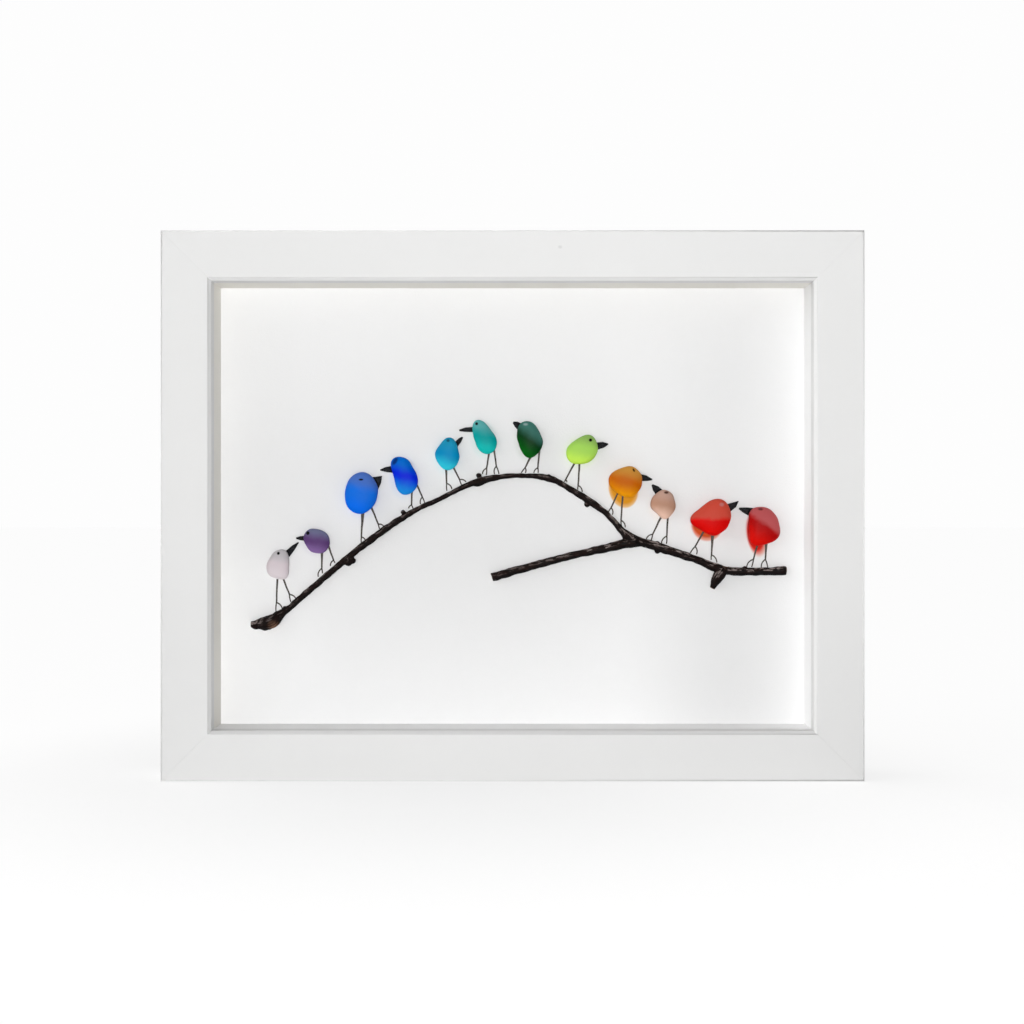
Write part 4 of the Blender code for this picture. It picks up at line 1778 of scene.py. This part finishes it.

# The birds, from left to right, each with its painted sheen, its glass's own colour and its painted glow

BIRDS = (
    BirdPlan(
        "white",
        PebbleShape(-116.3, -28.6, (
            4.6, 4.8, 5.2, 6.0, 6.8, 7.1, 6.9, 6.5, 6.3, 5.9, 5.7, 5.9,
            6.4, 7.0, 7.5, 7.9, 8.0, 7.8, 8.1, 8.4, 7.9, 6.4, 5.3, 4.8,
        )),
        BeakShape(
            ((-111.8, -25.6), (-113.2, -22.0)),
            ((-110.5, -19.9), (-107.4, -18.0), (-107.0, -18.4), (-109.2, -22.1)),
        ),
        (
            Leg((-117.9, -37.8), (-118.3, -48.4), ((-118.5, -53.1), (-115.4, -51.6)), 1.0),
            Leg((-114.5, -37.4), (-111.8, -44.4), ((-111.1, -48.1), (-108.6, -46.5)), 1.0),
        ),
        Spot(Oval(-116.7, -23.6, 0.75, 0.75)),
        tint(200, 196, 199), tint(224, 212, 217), tint(232, 222, 226),
    ),
    BirdPlan(
        "purple",
        PebbleShape(-98.0, -17.4, (
            6.7, 6.6, 6.4, 6.2, 6.0, 5.9, 6.0, 6.4, 6.8, 7.0, 6.9, 6.7,
            6.3, 5.8, 5.7, 5.8, 6.0, 6.1, 6.2, 6.6, 7.0, 7.0, 7.0, 6.9,
        )),
        BeakShape(
            ((-104.4, -17.4), (-104.3, -14.8)),
            ((-106.3, -15.1), (-108.3, -15.8), (-108.3, -16.5), (-106.3, -17.1)),
        ),
        (
            Leg((-95.5, -23.2), (-95.6, -31.3), ((-97.4, -35.5), (-95.3, -33.8)), 1.5),
            Leg((-92.1, -20.5), (-89.7, -27.2), ((-91.3, -30.1), (-89.0, -28.6)), 1.1),
        ),
        Spot(Oval(-102.0, -13.5, 0.9, 0.9)),
        tint(118, 120, 152), tint(94, 64, 117), tint(145, 112, 172),
    ),
    BirdPlan(
        "blue",
        PebbleShape(-75.4, 6.5, (
            8.2, 8.6, 8.9, 9.3, 9.9, 10.4, 10.5, 10.2, 9.7, 9.1, 8.5, 8.3,
            8.3, 8.6, 9.2, 9.9, 10.4, 10.6, 10.6, 9.9, 9.3, 8.8, 8.4, 8.2,
        )),
        BeakShape(((-67.1, 8.2), (-69.9, 14.8)), ((-65.3, 15.1), (-65.8, 11.6))),
        (
            Leg((-75.1, -3.5), (-75.7, -15.5), ((-75.8, -18.4), (-73.7, -17.5)), 2.0),
            Leg((-70.9, -0.6), (-67.2, -9.1), ((-66.6, -11.5), (-64.4, -10.4)), 1.2),
        ),
        Spot(Oval(-75.3, 13.1, 1.15, 0.5)),
        tint(77, 115, 196), tint(14, 109, 222), tint(0, 109, 240),
    ),
    BirdPlan(
        "deep_blue",
        PebbleShape(-54.8, 15.5, (
            7.2, 6.6, 6.4, 6.6, 7.4, 8.3, 9.1, 9.5, 9.6, 8.6, 6.7, 5.5,
            4.9, 4.7, 5.0, 5.6, 6.8, 8.6, 9.7, 10.3, 9.8, 9.5, 8.8, 7.8,
        )),
        BeakShape(
            ((-60.9, 20.2), (-60.7, 16.8)),
            ((-63.4, 17.0), (-66.2, 17.7), (-66.2, 18.3), (-63.6, 19.5)),
        ),
        (
            Leg((-50.4, 9.3), (-50.6, 0.5), ((-49.9, -1.3), (-52.1, -1.2)), 1.3),
            Leg((-48.0, 10.8), (-45.2, 4.4), ((-44.1, 1.6), (-46.1, 0.9)), 1.0),
        ),
        Spot(Oval(-58.6, 22.3, 1.0, 2.0, lean=35), tint(0, 10, 90), strength=0.8, softness=0.5),
        tint(0, 104, 204), tint(0, 36, 218), tint(25, 140, 225),
    ),
    BirdPlan(
        "sky_blue",
        PebbleShape(-32.6, 25.9, (
            6.1, 5.9, 6.2, 7.0, 7.8, 8.5, 8.3, 7.3, 6.4, 5.9, 5.9, 6.0,
            6.2, 6.2, 6.3, 6.5, 7.0, 7.7, 8.1, 8.0, 7.6, 7.0, 6.7, 6.3,
        )),
        BeakShape(
            ((-27.2, 29.8), (-28.3, 32.8)),
            ((-26.9, 33.9), (-25.3, 34.7), (-24.7, 34.3), (-25.8, 31.9)),
        ),
        (
            Leg((-33.3, 19.0), (-33.0, 11.3), ((-32.9, 7.6), (-30.4, 8.4)), 1.5),
            Leg((-29.5, 19.2), (-26.5, 13.2), ((-25.4, 10.3), (-23.3, 12.1)), 1.1),
        ),
        Spot(Oval(-32.1, 32.6, 0.9, 0.7), tint(25, 75, 95), strength=0.85, softness=0.4),
        tint(30, 146, 184), tint(0, 138, 190), tint(50, 206, 228),
    ),
    BirdPlan(
        "teal",
        PebbleShape(-13.9, 33.5, (
            5.9, 5.5, 5.3, 5.3, 5.7, 6.7, 8.3, 10.0, 10.3, 8.8, 7.1, 6.0,
            5.4, 5.1, 5.2, 5.6, 6.2, 6.8, 7.5, 7.8, 7.8, 7.5, 6.9, 6.4,
        )),
        BeakShape(
            ((-20.3, 40.0), (-20.3, 37.3)),
            ((-23.4, 37.1), (-26.6, 37.4), (-26.8, 38.2), (-23.6, 39.3)),
        ),
        (
            Leg((-11.9, 25.8), (-13.0, 18.9), ((-15.1, 16.0), (-13.2, 15.5)), 1.1),
            Leg((-9.2, 27.7), (-8.1, 19.9), ((-9.0, 16.0), (-6.8, 16.0)), 1.0),
        ),
        Spot(Oval(-17.9, 41.0, 0.75, 0.75)),
        tint(90, 171, 171), tint(0, 153, 152), tint(15, 190, 183),
    ),
    BirdPlan(
        "dark_green",
        PebbleShape(8.9, 33.1, (
            6.3, 5.9, 5.9, 6.2, 6.9, 8.1, 9.1, 9.7, 9.6, 8.8, 7.8, 7.1,
            6.6, 6.3, 6.4, 7.0, 7.8, 8.9, 9.3, 8.5, 7.9, 7.3, 6.9, 6.6,
        )),
        BeakShape(
            ((4.2, 41.7), (2.4, 38.2)),
            ((1.1, 39.7), (0.1, 41.5), (0.5, 42.3), (2.5, 42.2)),
        ),
        (
            Leg((9.2, 25.1), (6.3, 19.1), ((4.4, 16.6), (6.4, 16.6)), 1.5),
            Leg((13.5, 28.4), (12.7, 19.1), ((10.7, 16.6), (12.8, 16.6)), 1.1),
        ),
        # painted glint: a pale reflection on the frosted glass, in place of an eye
        Spot(Oval(6.5, 40.7, 1.1, 0.6), tint(150, 170, 170), strength=0.8, softness=0.5),
        tint(64, 116, 106), tint(0, 52, 14), tint(0, 92, 12),
        line=0.22, upward_lean=35,
    ),
    BirdPlan(
        "lime",
        PebbleShape(35.8, 27.7, (
            6.9, 7.1, 7.5, 7.9, 8.4, 8.3, 7.6, 7.1, 6.8, 6.9, 7.5, 8.3,
            9.0, 9.3, 9.3, 8.9, 7.9, 7.1, 6.7, 6.4, 6.3, 6.2, 6.3, 6.5,
        )),
        BeakShape(
            ((43.4, 28.2), (42.7, 32.4)),
            ((45.2, 32.1), (47.9, 31.3), (47.9, 30.7), (45.7, 29.2)),
        ),
        (
            Leg((31.0, 21.4), (26.6, 13.2), ((26.1, 12.1), (27.2, 11.9)), 1.1),
            Leg((33.5, 21.0), (32.9, 10.3), ((32.7, 8.2), (34.9, 7.0)), 1.1),
        ),
        Spot(Oval(38.8, 32.8, 0.8, 0.8)),
        tint(143, 185, 94), tint(166, 216, 92), tint(203, 244, 88),
    ),
    BirdPlan(
        "orange",
        PebbleShape(57.2, 12.5, (
            7.6, 7.7, 7.8, 7.7, 7.7, 7.7, 7.3, 7.1, 7.3, 7.7, 8.5, 9.2,
            9.4, 9.2, 8.5, 8.0, 7.9, 8.0, 8.3, 8.6, 8.2, 7.9, 7.7, 7.6,
        )),
        BeakShape(
            ((65.0, 12.5), (64.3, 16.4)),
            ((67.2, 15.2), (70.0, 13.5), (69.8, 12.9), (67.4, 12.5)),
        ),
        (
            Leg((52.9, 6.9), (49.4, -0.9), ((48.1, -2.9), (50.0, -4.4)), 0.9),
            Leg((55.2, 5.4), (54.4, -7.2), ((54.6, -10.1), (56.5, -10.7)), 1.1),
        ),
        Spot(Oval(60.3, 17.8, 0.5, 0.9, lean=-25), tint(60, 30, 10), softness=0.4),
        tint(206, 146, 62), tint(196, 97, 0), tint(250, 165, 6),
        glows=(
            Spot(Oval(55.5, 8.2, 7.1, 9.2, lean=-15), tint(222, 180, 110), 0.9, 0.06),
            Spot(Oval(55.6, 9.0, 6.8, 8.8, lean=-15), tint(208, 142, 30), 1.0, 0.18),
        ),
    ),
    BirdPlan(
        "pink",
        PebbleShape(75.9, 0.8, (
            5.6, 5.5, 5.7, 6.2, 6.8, 7.1, 7.4, 7.3, 7.1, 7.0, 7.0, 7.1,
            7.1, 7.0, 6.4, 6.0, 6.3, 6.9, 7.5, 7.2, 6.5, 6.1, 5.9, 5.8,
        )),
        BeakShape(
            ((75.2, 8.6), (71.4, 6.0)),
            ((70.3, 8.0), (69.6, 10.3), (70.2, 10.9), (72.9, 9.9)),
        ),
        (
            Leg((74.1, -6.2), (70.2, -14.2), ((67.0, -16.6), (69.5, -17.0)), 1.1),
            Leg((77.8, -6.0), (77.3, -15.1), ((74.6, -19.0), (77.1, -19.0)), 1.1),
        ),
        Spot(Oval(76.6, 6.7, 1.1, 0.6), tint(90, 60, 50), softness=0.4),
        tint(194, 158, 142), tint(184, 140, 117), tint(240, 200, 180),
    ),
    BirdPlan(
        "scarlet",
        PebbleShape(100.0, -6.6, (
            8.9, 9.4, 9.9, 10.5, 11.0, 10.7, 9.9, 9.0, 8.5, 8.4, 9.1, 10.3,
            11.3, 10.7, 8.9, 8.2, 7.9, 8.0, 8.4, 8.2, 8.0, 8.1, 8.3, 8.5,
        )),
        BeakShape(((109.2, -2.9), (107.5, 1.3)), ((113.3, 2.6), (111.8, -0.6))),
        (
            Leg((95.4, -13.5), (91.5, -20.3), ((89.0, -23.7), (92.2, -24.2)), 1.1),
            Leg((100.2, -14.7), (99.7, -24.5), ((99.6, -27.0), (102.4, -28.3)), 2.0),
        ),
        # painted glint: a pale reflection on the frosted glass, in place of an eye
        Spot(Oval(104.0, 0.7, 1.1, 0.9), tint(190, 130, 130), strength=0.7, softness=0.5),
        tint(203, 74, 58), tint(215, 0, 0), tint(224, 4, 0),
        line=-0.08, edge=0.14, upward_lean=0,
        glows=(
            Spot(Oval(97.6, -9.6, 7.7, 7.9), tint(215, 140, 115), 0.85, 0.08),
            Spot(Oval(97.5, -9.0, 7.6, 7.1), tint(192, 76, 32), 1.0, 0.16),
        ),
    ),
    BirdPlan(
        "crimson",
        PebbleShape(124.6, -9.4, (
            8.6, 8.4, 8.3, 8.4, 8.6, 8.9, 9.1, 9.2, 9.5, 9.0, 7.7, 7.1,
            7.0, 7.1, 7.8, 9.2, 11.0, 10.9, 10.2, 10.0, 10.0, 10.3, 10.1, 9.3,
        )),
        BeakShape(
            ((120.8, -1.0), (118.0, -4.7)),
            ((115.6, -3.4), (113.3, -1.6), (113.5, -0.8), (117.2, -0.7)),
        ),
        (
            Leg((123.0, -18.7), (120.7, -26.8), ((117.3, -30.5), (119.8, -30.5)), 1.2),
            Leg((127.2, -18.7), (126.7, -26.8), ((124.7, -30.8), (127.9, -30.8)), 1.7),
        ),
        Spot(Oval(123.4, -1.6, 1.2, 0.6), tint(60, 20, 25), strength=0.8, softness=0.5),
        tint(183, 84, 86), tint(168, 0, 0), tint(216, 8, 0),
        line=0.08, edge=0.16, upward_lean=35,
        glows=(
            Spot(Oval(122.8, -14.8, 5.0, 10.2, lean=-6), tint(212, 150, 135), 0.85, 0.14),
            Spot(Oval(121.8, -13.6, 4.5, 9.8, lean=-8), tint(200, 30, 14), 1.0, 0.18),
        ),
    ),
)


def paint_for(side: Side, board: Artboard) -> PaintFinish:
    """The rails' paint, with brush marks along the side and one small blemish above.

    Args:
        side: the rail's side.
        board: where the art is.

    Returns:
        The finish.
    """
    direction, stretch = ("level", (0.06, 1.0, 1.0)) if side.is_long else ("upright", (1.0, 1.0, 0.06))
    blemish = Spot(Oval(23.0, 125.3, 0.9, 0.7), grey(0.5), strength=0.4, softness=0.6)
    return PaintFinish(
        f"white paint {direction}",
        colour=(0.765, 0.765, 0.76),
        shade=(0.755, 0.755, 0.75),
        roughness=0.42,
        relief=0.012 * MM,
        stretch=stretch,
        board=board,
        blemishes=(blemish,),
    )


def strip_paint_for(side: Side, board: Artboard) -> PaintFinish:
    """The strips' paint, darker and a little warm on the left and above, as painted shade.

    Args:
        side: the strip's side.
        board: where the art is.

    Returns:
        The finish.
    """
    name, colour, shade = "strip paint", grey(0.97), grey(0.96)
    # painted shade: the left and upper strips get a darker, warmer white than the others
    if side in (Side.LEFT, Side.TOP):
        name, colour, shade = "strip paint with painted shade", (0.86, 0.84, 0.79), (0.85, 0.83, 0.78)
    return PaintFinish(name, colour, shade, roughness=0.6, relief=0.01 * MM, stretch=(1, 1, 1), board=board)


def paper_for(board: Artboard) -> PaperFinish:
    """The card's paper, with painted shade in broad patches, painted light near its lower left corner and
    painted coloured light below the pebbles.

    Args:
        board: where the art is.

    Returns:
        The finish.
    """
    # painted shade in the middle, above and on the right, and painted light near the lower left corner, each
    # a grey that the paper is blended towards
    painted_tones = (
        (Oval(0.0, 130.0, 200.0, 60.0), 0.81),
        (Oval(122.0, 0.0, 45.0, 200.0), 0.765),
        (Oval(-20.0, 10.0, 110.0, 80.0), 0.785),
        (Oval(-150.0, -110.0, 45.0, 70.0), 0.99),
    )
    painted_shading = [Spot(oval, grey(shading_level), softness=0.7) for oval, shading_level in painted_tones]
    glows = [glow for plan in BIRDS for glow in plan.thrown_light()]
    return PaperFinish("mount card", grey(0.93), (*painted_shading, *glows), board)


def main() -> None:
    """Build and dress everything in order."""
    logging.basicConfig(level=logging.INFO, format="%(name)s: %(message)s")
    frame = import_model()
    cad_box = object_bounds()
    effects = Effects()
    nodes = frame["nodes"]
    card_low, card_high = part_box("card")
    board = Artboard(Vector((0.0, card_low.y, (card_low.z + card_high.z) / 2)))

    paint = {side: paint_for(side, board) for side in Side}
    strip_paint = {side: strip_paint_for(side, board) for side in Side}
    BoxFrame(nodes, effects, *cad_box).build(paint, strip_paint)

    hardboard = BoardFinish("hardboard", (0.36, 0.22, 0.12), (0.27, 0.16, 0.085))
    steel = MetalFinish("bright steel", (0.62, 0.62, 0.63), (0.5, 0.5, 0.51), 0.3)
    zinc = MetalFinish("zinc plate", (0.70, 0.68, 0.62), (0.55, 0.54, 0.5), 0.35)
    Backing(nodes, effects).build(paper_for(board), hardboard, steel, zinc)

    # the bark's colours: darkest, brown, the painted highlight and bare wood
    bark = BarkFinish("dry bark", tint(5, 3, 3), tint(34, 19, 16), tint(146, 134, 130), tint(128, 96, 76))
    Twig(nodes, effects, board, LIMBS, KNOBS).build(bark)

    stone = StoneFinish("dark slate", tint(24, 24, 27), tint(75, 75, 78))
    ink = InkFinish("ink", tint(62, 57, 54), tint(95, 88, 82))
    for plan in BIRDS:
        Bird(nodes, effects, board, plan).build(stone, ink)

    pool = {"pool": grey(0.82), "pool_radius": 0.16, "pool_shift": -0.04}
    floor = FloorFinish("studio floor", grey(0.93), grey(0.25), lift=0.883, **pool)
    Studio(effects).build(floor)


if __name__ == "__main__":
    main()
